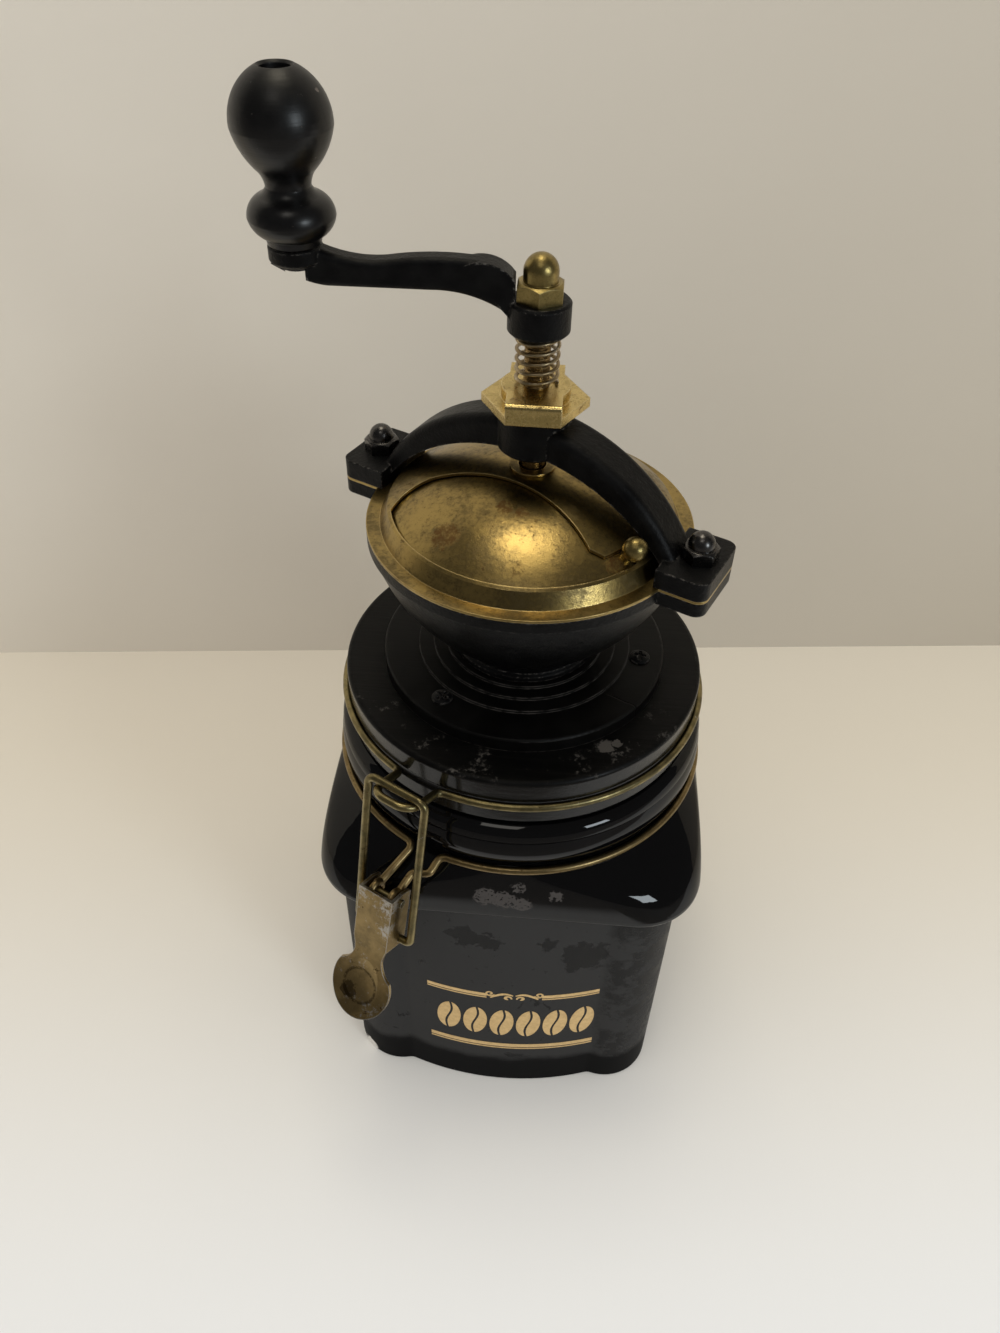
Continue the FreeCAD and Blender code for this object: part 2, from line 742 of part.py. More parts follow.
def make_lid_wire():
    """Wire round the lid: a hook for the link in front and two turned-in pins behind."""
    ring = value("lid_wire_ring")
    level = value("lid_wire_level")
    bend = value("bend_round")
    run = bend * 1.7
    pin_end = value("neck_eye_place - wire_radius - 1.4")
    fronts = []
    backs = []
    rings = []
    for side in (1, -1):
        angle, start, corner = ring_leave(ring, level, side, value("hook_half"), run)
        tip = Vector(value("hook_reach"), corner.y, value("hook_level"))
        fronts.append([start, corner, tip])
        back_angle, back_start, back_corner = ring_leave(ring, level, side, value("hinge_half"), run)
        seat = Vector(-value("hinge_reach"), back_corner.y, value("hinge_level"))
        end = Vector(seat.x, pin_end * side, seat.z)
        for item in (back_start, back_corner):
            item.x = -item.x
        backs.append([end, seat, back_corner, back_start])
        rings.append((180 * side - back_angle, angle))
    hook_bends = [bend, value("hook_round"), value("hook_round"), bend]
    path = (bent_path(backs[0], bend) + [ring_arc(ring, level, *rings[0])]
            + bent_path(fronts[0] + fronts[1][::-1], hook_bends)
            + [ring_arc(ring, level, *rings[1][::-1])] + bent_path(backs[1][::-1], bend))
    return placed(wire_along(path, value("wire_radius")), "lid_wire", "latch_angle")


# Clip


def make_latch_link():
    """Wire link: its top bar lies in the hook, its turned-in ends sit in the lever's walls."""
    top = point("link_top_reach", "0", "link_top_level")
    low = point("link_low_reach", "0", "link_low_level")
    half = Vector(0, value("link_half"), 0)
    end = Vector(0, value("lever_half - sheet_wall - 0.6"), 0)
    bend = value("bend_round")
    path = bent_path([low - end, low - half, top - half, top + half, low + half, low + end],
                     [bend * 0.7, bend, bend, bend * 0.7])
    return placed(wire_along(path, value("wire_radius")), "latch_link", "latch_angle")


def flat_sketch(name, role, *loops):
    """A sketch that stands by itself, on the XZ or the YZ plane."""
    sketch = doc.addObject("Sketcher::SketchObject", name)
    turn = {"XZ": FreeCAD.Rotation(Vector(1, 0, 0), 90), "YZ": FreeCAD.Rotation(Vector(1, 1, 1), 120)}[role]
    sketch.Placement = FreeCAD.Placement(Vector(), turn)
    for loop in loops:
        if isinstance(loop, tuple):
            draw_circle(sketch, *loop)
        else:
            draw_loop(sketch, loop)
    sketch.Visibility = False
    return sketch


def extrude(name, sketch, length, both=True):
    """The sketch drawn out along its normal, to both sides of its plane."""
    solid = doc.addObject("Part::Extrusion", name)
    solid.Base = sketch
    solid.DirMode = "Normal"
    solid.Solid = True
    solid.Symmetric = both
    bind(solid, "LengthFwd", length)
    return solid


def combine(kind, name, *items):
    """A boolean of the items."""
    result = doc.addObject("Part::" + kind, name)
    if kind in ("Cut", "Common"):
        result.Base, result.Tool = items
    else:
        result.Shapes = list(items)
    for item in items:
        item.Visibility = False
    return result


def make_latch_lever():
    """Pressed lever: a channel on the pin, then a neck and a dished thumb pad that bends outwards.

    It is drawn about the pin, with x outwards from the jar, y across and z up along the channel.
    """
    turn = "lever_turn * 1 deg"
    strip = extrude("lever_strip", flat_sketch("lever_strip_side", "XZ", [
        ("lever_inner", "lever_crest"), ("lever_inner", "-lever_neck", "lever_bend + sheet_wall"),
        (f"lever_front + lever_bend - (lever_bend + sheet_wall) * cos({turn})",
         f"-lever_neck - (lever_bend + sheet_wall) * sin({turn})"),
        (f"lever_front + lever_bend - lever_bend * cos({turn})",
         f"-lever_neck - lever_bend * sin({turn})", "-lever_bend"),
        ("lever_front", "-lever_neck"), ("lever_front", "lever_crest")]), "4 * pad_half")
    rim_y = "pad_half * cos(28 deg)"
    rim_z = "pad_half * sin(28 deg) - pad_place"
    face = extrude("lever_outline", flat_sketch("lever_face", "YZ", [
        ("-lever_half", "lever_crest + 5"), ("-lever_half", "-lever_neck", "-20"),
        ("-neck_half", "-lever_neck - 4.5", "-7"), (f"-{rim_y}", rim_z, "pad_half"),
        ("0", "-pad_place - pad_half", "pad_half"), (rim_y, rim_z, "-7"),
        ("neck_half", "-lever_neck - 4.5", "-20"), ("lever_half", "-lever_neck"),
        ("lever_half", "lever_crest + 5")]), "80")
    pieces = [combine("Common", "lever_sheet", strip, face)]
    for side, name in ((-1, "left"), (1, "right")):
        wall = extrude(f"lever_{name}_wall", flat_sketch(f"lever_{name}_side", "XZ", [
            ("lever_inner + 0.2", "lever_crest"),
            ("-1", "lever_crest"), ("lever_front - lever_depth", "lever_heel"),
            ("lever_front - lever_depth", "-5"), ("link_x - ear_round", "link_z", "ear_round"),
            ("link_x + 0.6", "link_z - sqrt(ear_round ^ 2 - 0.36)"),
            ("lever_inner + 0.5", "-lever_neck - 0.5")]), "sheet_wall")
        bind(wall, "Placement.Base.y", f"{side} * (lever_half - sheet_wall / 2)")
        pieces.append(wall)
    drills = []
    for name, x, z in (("pin", "0", "0"), ("link", "link_x", "link_z")):
        drill = doc.addObject("Part::Cylinder", f"lever_{name}_hole")
        bind(drill, "Radius", "wire_radius + pin_fit")
        bind(drill, "Height", "4 * lever_half")
        drill.Placement = FreeCAD.Placement(Vector(), FreeCAD.Rotation(Vector(1, 0, 0), -90))
        bind(drill, "Placement.Base.x", x)
        bind(drill, "Placement.Base.y", "-2 * lever_half")
        bind(drill, "Placement.Base.z", z)
        drills.append(drill)
    dish = doc.addObject("Part::Sphere", "lever_dish")
    dish_round = "(dish_radius ^ 2 + dish_depth ^ 2) / (2 * dish_depth)"
    pad_turn = "asin((pad_place - lever_neck) / lever_bend)"
    bind(dish, "Radius", dish_round)
    bind(dish, "Placement.Base.x", f"lever_front + lever_bend * (1 - cos({pad_turn}))"
                                   f" + ({dish_round} - dish_depth) * cos({pad_turn})")
    bind(dish, "Placement.Base.z", f"-pad_place + ({dish_round} - dish_depth) * sin({pad_turn})")
    lever = combine("Cut", "lever_pressing", combine("MultiFuse", "lever_blank", *pieces),
                    combine("MultiFuse", "lever_cuts", *drills, dish))
    lever.Placement = FreeCAD.Placement(Vector(), FreeCAD.Rotation(Vector(0, -1, 0), value("lever_tilt")))
    bind(lever, "Placement.Rotation.Angle", "lever_tilt")
    bind(lever, "Placement.Base.x", "lever_reach")
    bind(lever, "Placement.Base.z", "lever_level")
    return turned_copy("latch_lever", lever, "latch_angle")


# Hopper, burrs and their bearing


def bolt_circles(radius):
    """The two holes for the ear bolts."""
    return [("bolt_place", "0", radius), ("-bolt_place", "0", radius)]


def ear_plates(body, start, level, height, turn=0):
    """The two ears that the bolts clamp."""
    return raise_plate(body, box_loop(start, "ear_reach", "-ear_half", "ear_half"),
                       box_loop("-ear_reach", f"-({start})", "-ear_half", "ear_half"),
                       level=level, height=height, turn=turn)


def round_ears(body, turn):
    """Round the outer corners of the ears."""
    reach = value("ear_reach") - 0.01
    heading = Vector(math.cos(math.radians(turn)), math.sin(math.radians(turn)), 0)

    def outer(edge):
        middle = edge.valueAt((edge.FirstParameter + edge.LastParameter) / 2)
        upright = edge.BoundBox.ZLength > 0.1 and edge.BoundBox.XLength + edge.BoundBox.YLength < 0.01
        return upright and abs(middle.dot(heading)) > reach
    return round_edges(body, "ear_corner", outer)


def make_hopper():
    """Cast hopper: bowl with a rim band and two ears above, burr housing below."""
    body = new_body("hopper_bowl", "bridge_angle")
    belly = "hopper_belly"
    turn_up(body, [
        ("burr_radius", "housing_floor"), ("housing_radius", "housing_floor"),
        ("housing_radius", "foot_level"), ("foot_radius", "foot_level"),
        ("foot_radius", "foot_level + foot_height"),
        ("hopper_neck", "foot_level + foot_height + 0.7", "-5"),
        ("hopper_neck + 2.4", "foot_level + foot_height + 5", belly),
        ("hopper_radius - 0.6", "rim_top - rim_height"), ("hopper_radius", "rim_top - rim_height + 0.5"),
        ("hopper_radius", "rim_top"), ("hopper_radius - hopper_wall", "rim_top", f"-{belly}"),
        ("hopper_neck + 0.8", "foot_level + foot_height + 7"),
        ("throat_radius", "foot_level + foot_height + 2"),
        ("throat_radius", "burr_top + 0.4"), ("burr_radius", "burr_top + 0.4")])
    ear_plates(body, "hopper_radius - 1.6", "rim_top - ear_height", "ear_height")
    round_ears(body, 0)
    cut_up(body, *bolt_circles("bolt_radius + bolt_fit"),
           level="rim_top - 2 * ear_height", height="3 * ear_height")
    return body


def make_ring_burr():
    """Fixed burr in the housing, with slanting teeth."""
    body = new_body("ring_burr")
    turn_up(body, [
        ("burr_outlet", "housing_floor + 0.4"), ("burr_radius - 0.05", "housing_floor + 0.4"),
        ("burr_radius - 0.05", "burr_top"), ("burr_mouth", "burr_top"), ("burr_mouth", "burr_top - 4")])
    return body


def make_cone_burr():
    """Turning burr on the spindle, cut with teeth."""
    body = new_body("cone_burr")
    turn_up(body, [
        ("spindle_bore", "housing_floor + 0.4"), ("burr_outlet - burr_gap", "housing_floor + 0.4"),
        ("burr_outlet - burr_gap", "housing_floor + 2"), ("cone_top", "burr_top - 1"),
        ("spindle_bore", "burr_top - 1")])
    tooth = cut_up(body, [
        ("cone_top", "-tooth_depth / 2"), ("burr_outlet + 1", "-tooth_depth * 1.1"),
        ("burr_outlet + 1", "tooth_depth * 1.1"), ("cone_top", "tooth_depth / 2")],
        level="housing_floor + 2", height="burr_height")
    repeat_round(body, [tooth], "tooth_count")
    hole = new_sketch(body, "YZ_Plane", ("0", "burr_top - burr_pin_drop", "burr_pin_radius"))
    add_feature(body, "Pocket", hole, "4 * cone_top", both=True)
    return body


def make_burr_pin():
    """Cross pin that keeps the cone burr on the spindle."""
    pin = doc.addObject("Part::Cylinder", "burr_pin")
    pin.Label = "burr_pin"
    bind(pin, "Radius", "burr_pin_radius")
    bind(pin, "Height", "2 * cone_top - 1")
    pin.Placement = FreeCAD.Placement(Vector(), FreeCAD.Rotation(Vector(0, 1, 0), 90))
    bind(pin, "Placement.Base.x", "0.5 - cone_top")
    bind(pin, "Placement.Base.z", "burr_top - burr_pin_drop")
    return pin


def make_bearing_bar():
    """Cast bar under the plug that guides the spindle's lower end."""
    body = new_body("bearing_bar", "bridge_angle")
    raise_plate(body, box_loop("-bar_reach", "bar_reach", "-bar_half", "bar_half"),
                level="bar_floor", height="bar_height")
    turn_up(body, [("0", "bar_floor"), ("bar_half", "bar_floor"), ("bar_half", "housing_floor - 0.4"),
                   ("0", "housing_floor - 0.4")])
    cut_up(body, ("0", "0", "spindle_bore"), *bar_circles("screw_shank"),
           level="bar_floor - 1", height="2 * bar_height + 10")
    return body


def make_bar_screws():
    """Two screws that hold the bearing bar to the plug."""
    body = new_body("bar_screws", "bridge_angle")
    shank = turn_up(body, [
        ("0", "bar_floor - 1.4"), ("screw_head", "bar_floor - 0.5"), ("screw_head", "bar_floor"),
        ("screw_shank", "bar_floor"), ("screw_shank", "plug_floor + bar_screw_depth - 1.5"),
        ("0", "plug_floor + bar_screw_depth")], shift="bar_screw_place")
    repeat_round(body, [shank], "2")
    return body


# Brass cover and shutter


def dome_height(radius, round_of="dome_round"):
    """Level of the dome of that round at a radius."""
    return f"(dome_centre + sqrt(({round_of}) ^ 2 - ({radius}) ^ 2))"


def polar(radius, angle):
    """Coordinates of a point given by radius and azimuth."""
    return (f"({radius}) * cos(({angle}) * 1 deg)", f"({radius}) * sin(({angle}) * 1 deg)")


def make_cover():
    """Pressed brass cover with two ears and a teardrop opening that ends in a notch."""
    body = new_body("dome_cover")
    wall = "cover_wall"
    inner_round = f"(dome_round - {wall})"
    turn_up(body, [
        (f"cover_crease - {wall} / 2", "rim_top"), ("hopper_radius", "rim_top"),
        ("hopper_radius", "cover_top"),
        ("cover_crease", "cover_top"), ("dome_radius", "dome_foot", "dome_round"),
        ("cover_hole", dome_height("cover_hole")),
        ("cover_hole", dome_height("cover_hole", inner_round), f"-{inner_round}"),
        ("dome_radius - 0.65", dome_height("dome_radius - 0.65", inner_round))])
    ear_plates(body, "hopper_radius - 1.6", "rim_top", wall, turn="bridge_angle")
    round_ears(body, value("bridge_angle"))
    cut_up(body, *bolt_circles("bolt_radius + bolt_fit"), level="rim_top - 1", height="3",
           turn="bridge_angle")
    notch_low = polar("opening_radius", "notch_angle")
    notch_high = polar("notch_inner", "notch_angle")
    cut_up(body, [
        polar("opening_radius", "opening_left_angle") + ("opening_radius",),
        polar("opening_radius", "seam_end_angle - 30") + ("opening_radius",),
        notch_low + ("(opening_radius - notch_inner) / 2",),
        notch_high + ("-notch_inner",),
        polar("notch_inner", "seam_end_angle + 5"),
        polar("seam_end_radius", "seam_end_angle") + ("seam_round",),
        ("seam_tip_x", "seam_tip_y", "seam_tip_round")], level="dome_foot - 0.9", height="20")
    return body


def make_ferrule():
    """Rolled brass tube that joins cover and shutter round the spindle."""
    body = new_body("dome_ferrule")
    top = dome_height("cover_hole")
    low = dome_height("ferrule_flange", "(shutter_round - shutter_wall - 0.15)")
    bore = "spindle_radius + 0.4"
    turn_up(body, [
        (bore, f"{low} - 0.6"), ("ferrule_flange", f"{low} - 0.6"), ("ferrule_flange", low),
        ("ferrule_radius", low), ("ferrule_radius", f"{top} + 0.02"), ("ferrule_flange", f"{top} + 0.02"),
        ("ferrule_flange", f"{top} + 0.6"), (bore, f"{top} + 0.6")])
    return body


STEM_LEAN = "-asin(stem_place / dome_round)"


def shell_outline(start, end):
    """Section of the shutter's shell between two radii."""
    outer = "shutter_round"
    inner = "(shutter_round - shutter_wall)"
    return [(start, dome_height(start, inner), f"-{inner}"), (end, dome_height(end, inner)),
            (end, dome_height(end, outer), outer), (start, dome_height(start, outer))]


def make_shutter():
    """Sector of a dome that turns under the cover, with a full hub ring and a hole for the knob's stem."""
    body = new_body("shutter_shell", "notch_angle")
    turn_up(body, shell_outline("ferrule_radius + pin_fit", "shutter_hub"))
    turn_up(body, shell_outline("shutter_hub - 0.5", "shutter_edge"), angle="shutter_ahead")
    turn_up(body, shell_outline("shutter_hub - 0.5", "shutter_edge"), angle="shutter_behind", reverse=True)
    turn_up(body, [("0", "shutter_round - 2"), ("stem_radius", "shutter_round - 2"),
                   ("stem_radius", "shutter_round + 1"), ("0", "shutter_round + 1")],
            kind="Groove", rise="dome_centre", turn=STEM_LEAN)
    return body


def make_shutter_knob():
    """Ball on a stem that is riveted through the shutter."""
    body = new_body("shutter_knob", "notch_angle")
    rivet = "(stem_radius + 0.8)"
    base = f"sqrt((shutter_round - shutter_wall) ^ 2 - {rivet} ^ 2)"
    ball = "(dome_round + 0.3 + ball_radius)"
    turn_up(body, [
        ("0", f"{base} - 0.5"), (rivet, f"{base} - 0.5"), (rivet, base), ("stem_radius", base),
        ("stem_radius", f"{ball} - sqrt(ball_radius ^ 2 - stem_radius ^ 2)", "ball_radius"),
        ("ball_radius", ball, "ball_radius"), ("0", f"{ball} + ball_radius")],
        rise="dome_centre", turn=STEM_LEAN)
    return body


# Bridge


def make_bridge():
    """Cast bridge: an arch on two pads, with a boss for the spindle."""
    body = new_body("bridge", "bridge_angle")
    low_x = "bridge_pad_start - 1.7"
    low_z = "pad_top - 0.3"
    outer = rise_round("arch_foot", "arch_crown - pad_top")
    inner = rise_round(low_x, f"arch_floor - ({low_z})")
    sketch = new_sketch(body, "XZ_Plane", [
        ("bridge_pad_start", "cover_top"), ("ear_reach - 2", "cover_top"), ("ear_reach - 2", "pad_top"),
        ("arch_foot", "pad_top", outer), ("-arch_foot", "pad_top"), ("2 - ear_reach", "pad_top"),
        ("2 - ear_reach", "cover_top"), ("-bridge_pad_start", "cover_top"),
        ("-bridge_pad_start", "cover_top + 2.6"), (f"-({low_x})", low_z, f"-{inner}"), (low_x, low_z),
        ("bridge_pad_start", "cover_top + 2.6")])
    add_feature(body, "Pad", sketch, "2 * bridge_half", both=True)

    def over_arch(edge):
        box = edge.BoundBox
        outside = abs(abs(box.YMax) - value("bridge_half")) < 0.01
        return outside and box.XLength > 10 and box.ZMax > value("arch_crown") - 0.5
    round_edges(body, "arch_round", over_arch)
    ear_plates(body, "bridge_pad_start", "cover_top", "bridge_pad")
    round_ears(body, 0)
    turn_up(body, [
        ("0", "arch_floor - 1"), ("bridge_boss - 0.6", "arch_floor - 1"), ("bridge_boss", "arch_floor - 0.4"),
        ("bridge_boss", "bridge_top - 0.6"), ("bridge_boss - 0.6", "bridge_top"), ("0", "bridge_top")])
    cut_up(body, *bolt_circles("bolt_radius + bolt_fit"), ("0", "0", "spindle_bore"),
           level="cover_top - 1", height="40")
    return body


def hex_bevel(half, top, inner):
    """Section of the bevel that turns a hexagon's upper corners away."""
    tip = f"{half} / cos({HEX_CORNER} deg)"
    return [(inner, top), (f"{tip} + 0.1", f"{top} - 0.75"), (f"{tip} + 0.1", f"{top} + 0.2"),
            (inner, f"{top} + 0.2")]


def make_ear_bolts():
    """Two bolts up through hopper ear, cover ear and bridge pad."""
    body = new_body("ear_bolts", "bridge_angle")
    seat = "(rim_top - ear_height)"
    bolt = turn_up(body, [
        ("0", f"{seat} - bolt_head_height"), ("bolt_head - 1", f"{seat} - bolt_head_height", "2"),
        ("bolt_head", f"{seat} - bolt_head_height + 1.2"), ("bolt_head", seat), ("bolt_radius", seat),
        ("bolt_radius", "pad_top + ear_nut_height + 1"), ("0", "pad_top + ear_nut_height + 1")],
        shift="bolt_place")
    repeat_round(body, [bolt], "2")
    return body


def make_ear_nuts():
    """Two domed nuts on the bridge pads."""
    body = new_body("ear_nuts", "bridge_angle")
    top = "(pad_top + ear_nut_height)"
    plate = raise_plate(body, hexagon("ear_nut_half", "bolt_place", HEX_CORNER),
                        level="pad_top", height="ear_nut_height")
    bevel = turn_up(body, hex_bevel("ear_nut_half", top, "ear_nut_half - 0.3"),
                    shift="bolt_place", kind="Groove")
    dome = turn_up(body, [("0", f"{top} - 1"), ("ear_nut_dome", f"{top} - 1"),
                          ("ear_nut_dome", f"{top} + 0.4", "ear_nut_dome"),
                          ("0", f"{top} + 0.4 + ear_nut_dome")], shift="bolt_place")
    bore = turn_up(body, [("0", "pad_top - 0.5"), ("bolt_radius", "pad_top - 0.5"),
                          ("bolt_radius", f"{top} + 1"), ("0", f"{top} + 1")],
                   shift="bolt_place", kind="Groove")
    repeat_round(body, [plate, bevel, dome, bore], "2")
    return body


# Spindle, adjusting nut, spring and crank


def make_spindle():
    """Spindle from the bearing bar to the domed nut, with a thread where the spring is."""
    body = new_body("spindle")
    turn_up(body, [("0", "spindle_floor"), ("spindle_radius", "spindle_floor"),
                   ("spindle_radius", "crank_top + nut_height + 1"), ("0", "crank_top + nut_height + 1")])
    pitch = "thread_pitch"
    groove = turn_up(body, [
        ("spindle_radius - thread_depth", "nut_seat + 0.5"),
        ("spindle_radius + 0.1", f"nut_seat + 0.5 - {pitch} * 0.4"),
        ("spindle_radius + 0.1", f"nut_seat + 0.5 + {pitch} * 0.4")], kind="Groove")
    pattern = body.newObject("PartDesign::LinearPattern", "spindle_thread")
    pattern.Originals = [groove]
    pattern.Direction = (origin(body, "Z_Axis"), [""])
    bind(pattern, "Length", f"spring_height - 1 - mod(spring_height - 1; {pitch})")
    bind(pattern, "Occurrences", f"floor((spring_height - 1) / {pitch}) + 1")
    body.Tip = pattern
    doc.recompute()
    drill = doc.addObject("Part::Cylinder", "spindle_pin_hole")
    bind(drill, "Radius", "burr_pin_radius")
    bind(drill, "Height", "4 * spindle_radius")
    drill.Placement = FreeCAD.Placement(Vector(), FreeCAD.Rotation(Vector(0, 1, 0), 90))
    bind(drill, "Placement.Base.x", "-2 * spindle_radius")
    bind(drill, "Placement.Base.z", "burr_top - burr_pin_drop")
    body.Label = "spindle_turning"
    rod = combine("Cut", "spindle_rod", body, drill)
    rod.Label = "spindle"
    return rod


def make_adjusting_nut():
    """Brass nut that sets the grind: a hexagonal plate, a raised block and a round spring seat."""
    body = new_body("adjusting_nut")
    raise_plate(body, hexagon("plate_half"), level="bridge_top", height="plate_height")
    raise_plate(body, box_loop("-block_half", "block_half", "-plate_half", "plate_half"),
                level="bridge_top", height="plate_height + block_height")
    top = value("nut_seat") - 0.01
    round_edges(body, "block_round", lambda edge: edge.BoundBox.ZMin > top and edge.BoundBox.XLength > 5)
    raise_plate(body, ("0", "0", "seat_radius"), level="plate_top - 0.5", height="block_height + 0.5")
    cut_up(body, ("0", "0", "spindle_bore"), level="bridge_top - 1", height="10")
    return body


def make_spring():
    """Compression spring between the nut and the crank."""
    helix = doc.addObject("Part::Helix", "spring_line")
    bind(helix, "Radius", "spring_radius")
    bind(helix, "Height", "spring_height - 2 * spring_wire - 0.04")
    bind(helix, "Pitch", "(spring_height - 2 * spring_wire - 0.04) / spring_turns")
    section = doc.addObject("Part::Circle", "spring_section")
    bind(section, "Radius", "spring_wire")
    section.Placement = FreeCAD.Placement(Vector(), FreeCAD.Rotation(Vector(1, 0, 0), 90))
    bind(section, "Placement.Base.x", "spring_radius")
    sweep = doc.addObject("Part::Sweep", "spring")
    sweep.Label = "spring"
    sweep.Sections = [section]
    sweep.Spine = (helix, [])
    sweep.Solid = True
    sweep.Frenet = True
    bind(sweep, "Placement.Base.z", "nut_seat + spring_wire + 0.02")
    return sweep


def make_crank_arm():
    """Cast crank: a boss on the spindle, an arm that rises and runs out, and a pad for the knob."""
    body = new_body("crank_arm", "crank_angle")
    low = "(arm_top - arm_depth)"
    sketch = new_sketch(body, "XZ_Plane", [
        ("nut_half - 0.3", "crank_floor + 2"), ("crank_boss", "crank_floor + 4.6", "-28"),
        ("arm_reach * 0.45", f"{low} - 0.2"), ("arm_reach * 0.86", f"{low} - 0.1", "40"),
        ("arm_reach + arm_pad - 0.8", "arm_pad_top - arm_pad_height + 0.1"),
        ("arm_reach", "arm_pad_top - 0.3"), ("arm_reach - arm_pad + 0.4", "arm_pad_top - 0.4", "-29"),
        ("arm_reach * 0.63", "arm_top - 0.9", "70"), ("13", "arm_top - 0.4", "9"),
        ("nut_half - 0.3", "crank_top + 3.4")])
    add_feature(body, "Pad", sketch, "2 * arm_half", both=True)
    start = value("crank_boss") - 0.1
    end = value("arm_reach - arm_pad") + 2
    round_edges(body, "arm_round", lambda edge: edge.BoundBox.YLength < 0.01 and edge.BoundBox.XLength > 8
                and start < edge.BoundBox.XMin and edge.BoundBox.XMax < end)
    turn_up(body, [
        ("0", "crank_floor"), ("crank_boss - 0.8", "crank_floor"), ("crank_boss", "crank_floor + 0.8"),
        ("crank_boss", "crank_top - 0.6"), ("crank_boss - 0.6", "crank_top"), ("0", "crank_top")])
    turn_up(body, [
        ("0", "arm_pad_top - arm_pad_height"), ("arm_pad - 0.6", "arm_pad_top - arm_pad_height"),
        ("arm_pad", "arm_pad_top - arm_pad_height + 0.6"), ("arm_pad", "arm_pad_top - 0.4"),
        ("arm_pad - 0.4", "arm_pad_top"), ("0", "arm_pad_top")], shift="arm_reach")
    cut_up(body, ("0", "0", "spindle_radius"), level="crank_floor - 1", height="crank_boss_height + 2")
    cut_up(body, ("0", "0", "nut_half + 1.1"), level="crank_top", height="20")
    cut_up(body, ("arm_reach", "0", "knob_bolt_radius"), level="arm_pad_top - 2 * arm_pad_height",
           height="20")
    cut_up(body, ("arm_reach", "0", "knob_bolt_radius + 1.5"), level="arm_top - arm_depth - 1",
           height="arm_depth + 1 + arm_pad_rise - arm_pad_height")
    return body


def make_acorn_nut():
    """Domed brass nut that clamps the crank."""
    body = new_body("acorn_nut")
    top = "(crank_top + nut_height)"
    raise_plate(body, hexagon("nut_half", "0", HEX_CORNER), level="crank_top", height="nut_height")
    turn_up(body, hex_bevel("nut_half", top, "nut_half - 0.35"), kind="Groove")
    turn_up(body, [
        ("0", f"{top} - 1"), ("nut_dome", f"{top} - 1"),
        ("nut_dome", "crank_top + nut_total - nut_dome", "nut_dome"), ("0", "crank_top + nut_total")])
    turn_up(body, [("0", "crank_top - 1"), ("spindle_radius", "crank_top - 1"),
                   ("spindle_radius", f"{top} + 1"), ("0", f"{top} + 1")], kind="Groove")
    return body


def make_knob_grip():
    """Turned wooden knob: a bulge, a narrow neck and an egg with a hole in its top."""
    body = new_body("knob_grip", "crank_angle")
    bore = "(knob_bolt_radius + pin_fit)"
    top = "(knob_floor + knob_height)"
    turn_up(body, [
        (bore, "knob_floor"), ("knob_foot", "knob_floor"), ("knob_foot + 0.3", "knob_floor + 1.4", "5.2"),
        ("knob_bulge", "knob_floor + knob_bulge_level", "4.6"),
        ("knob_neck + 1.6", "knob_floor + 9.6", "-3.2"),
        ("knob_neck", "knob_floor + knob_neck_level", "-6"), ("knob_neck + 1.2", "knob_floor + 14.4", "16"),
        ("knob_radius", "knob_floor + knob_belly_level", "11.2"), ("knob_hole + 0.6", top),
        ("knob_hole", f"{top} - 0.5"), ("knob_hole", f"{top} - knob_hole_depth"),
        (bore, f"{top} - knob_hole_depth")], shift="arm_reach")
    return body


def make_knob_bolt():
    """Bolt through the knob into the crank's pad; its head lies at the bottom of the knob's hole."""
    body = new_body("knob_bolt", "crank_angle")
    seat = "(knob_floor + knob_height - knob_hole_depth)"
    collar = "(arm_pad_top - arm_pad_height)"
    turn_up(body, [
        ("0", f"{collar} - 1.2"), ("knob_bolt_radius + 1.4", f"{collar} - 1.2"),
        ("knob_bolt_radius + 1.4", collar), ("knob_bolt_radius", collar),
        ("knob_bolt_radius", f"{seat} + 0.3"), ("knob_hole - 0.25", f"{seat} + 0.3"),
        ("knob_hole - 0.25", f"{seat} + 1.3", rise_round("knob_hole - 0.25", "screw_dome")),
        ("0", f"{seat} + 1.3 + screw_dome")], shift="arm_reach")
    return body


MAKERS = (
    make_jar, make_jar_neck, make_neck_wire, make_lever_pin,
    make_lid_board, make_lid_plug, make_lid_gasket, make_plinth, make_plinth_screws, make_lid_wire,
    make_latch_link, make_latch_lever,
    make_hopper, make_ring_burr, make_cone_burr, make_burr_pin, make_bearing_bar, make_bar_screws,
    make_cover, make_ferrule, make_shutter, make_shutter_knob,
    make_bridge, make_ear_bolts, make_ear_nuts,
    make_spindle, make_adjusting_nut, make_spring, make_crank_arm, make_acorn_nut,
    make_knob_grip, make_knob_bolt,
)


def check(parts):
    """Stop if any object failed or any sub-part's shape is missing or wrong."""
    for item in doc.Objects:
        if "Invalid" in item.State or "Error" in item.State:
            raise RuntimeError(f"{item.Label}: {item.State} {item.getStatusString()}")
    for part in parts:
        shape = part.Shape
        if shape.isNull() or not shape.isValid() or not shape.Solids:
            raise RuntimeError(f"{part.Label}: no valid solid")
        box = shape.BoundBox
        print(f"{part.Label}: {len(shape.Solids)} solids, {shape.Volume:.1f} mm3, "
              f"z {box.ZMin:.2f} to {box.ZMax:.2f}")


def main():
    """Make the pieces and write one file for each."""
    parts = [make() for make in MAKERS]
    doc.recompute()
    check(parts)
    os.makedirs("parts", exist_ok=True)
    for part in parts:
        part.Shape.exportStep(f"parts/{part.Label}.step")


main()
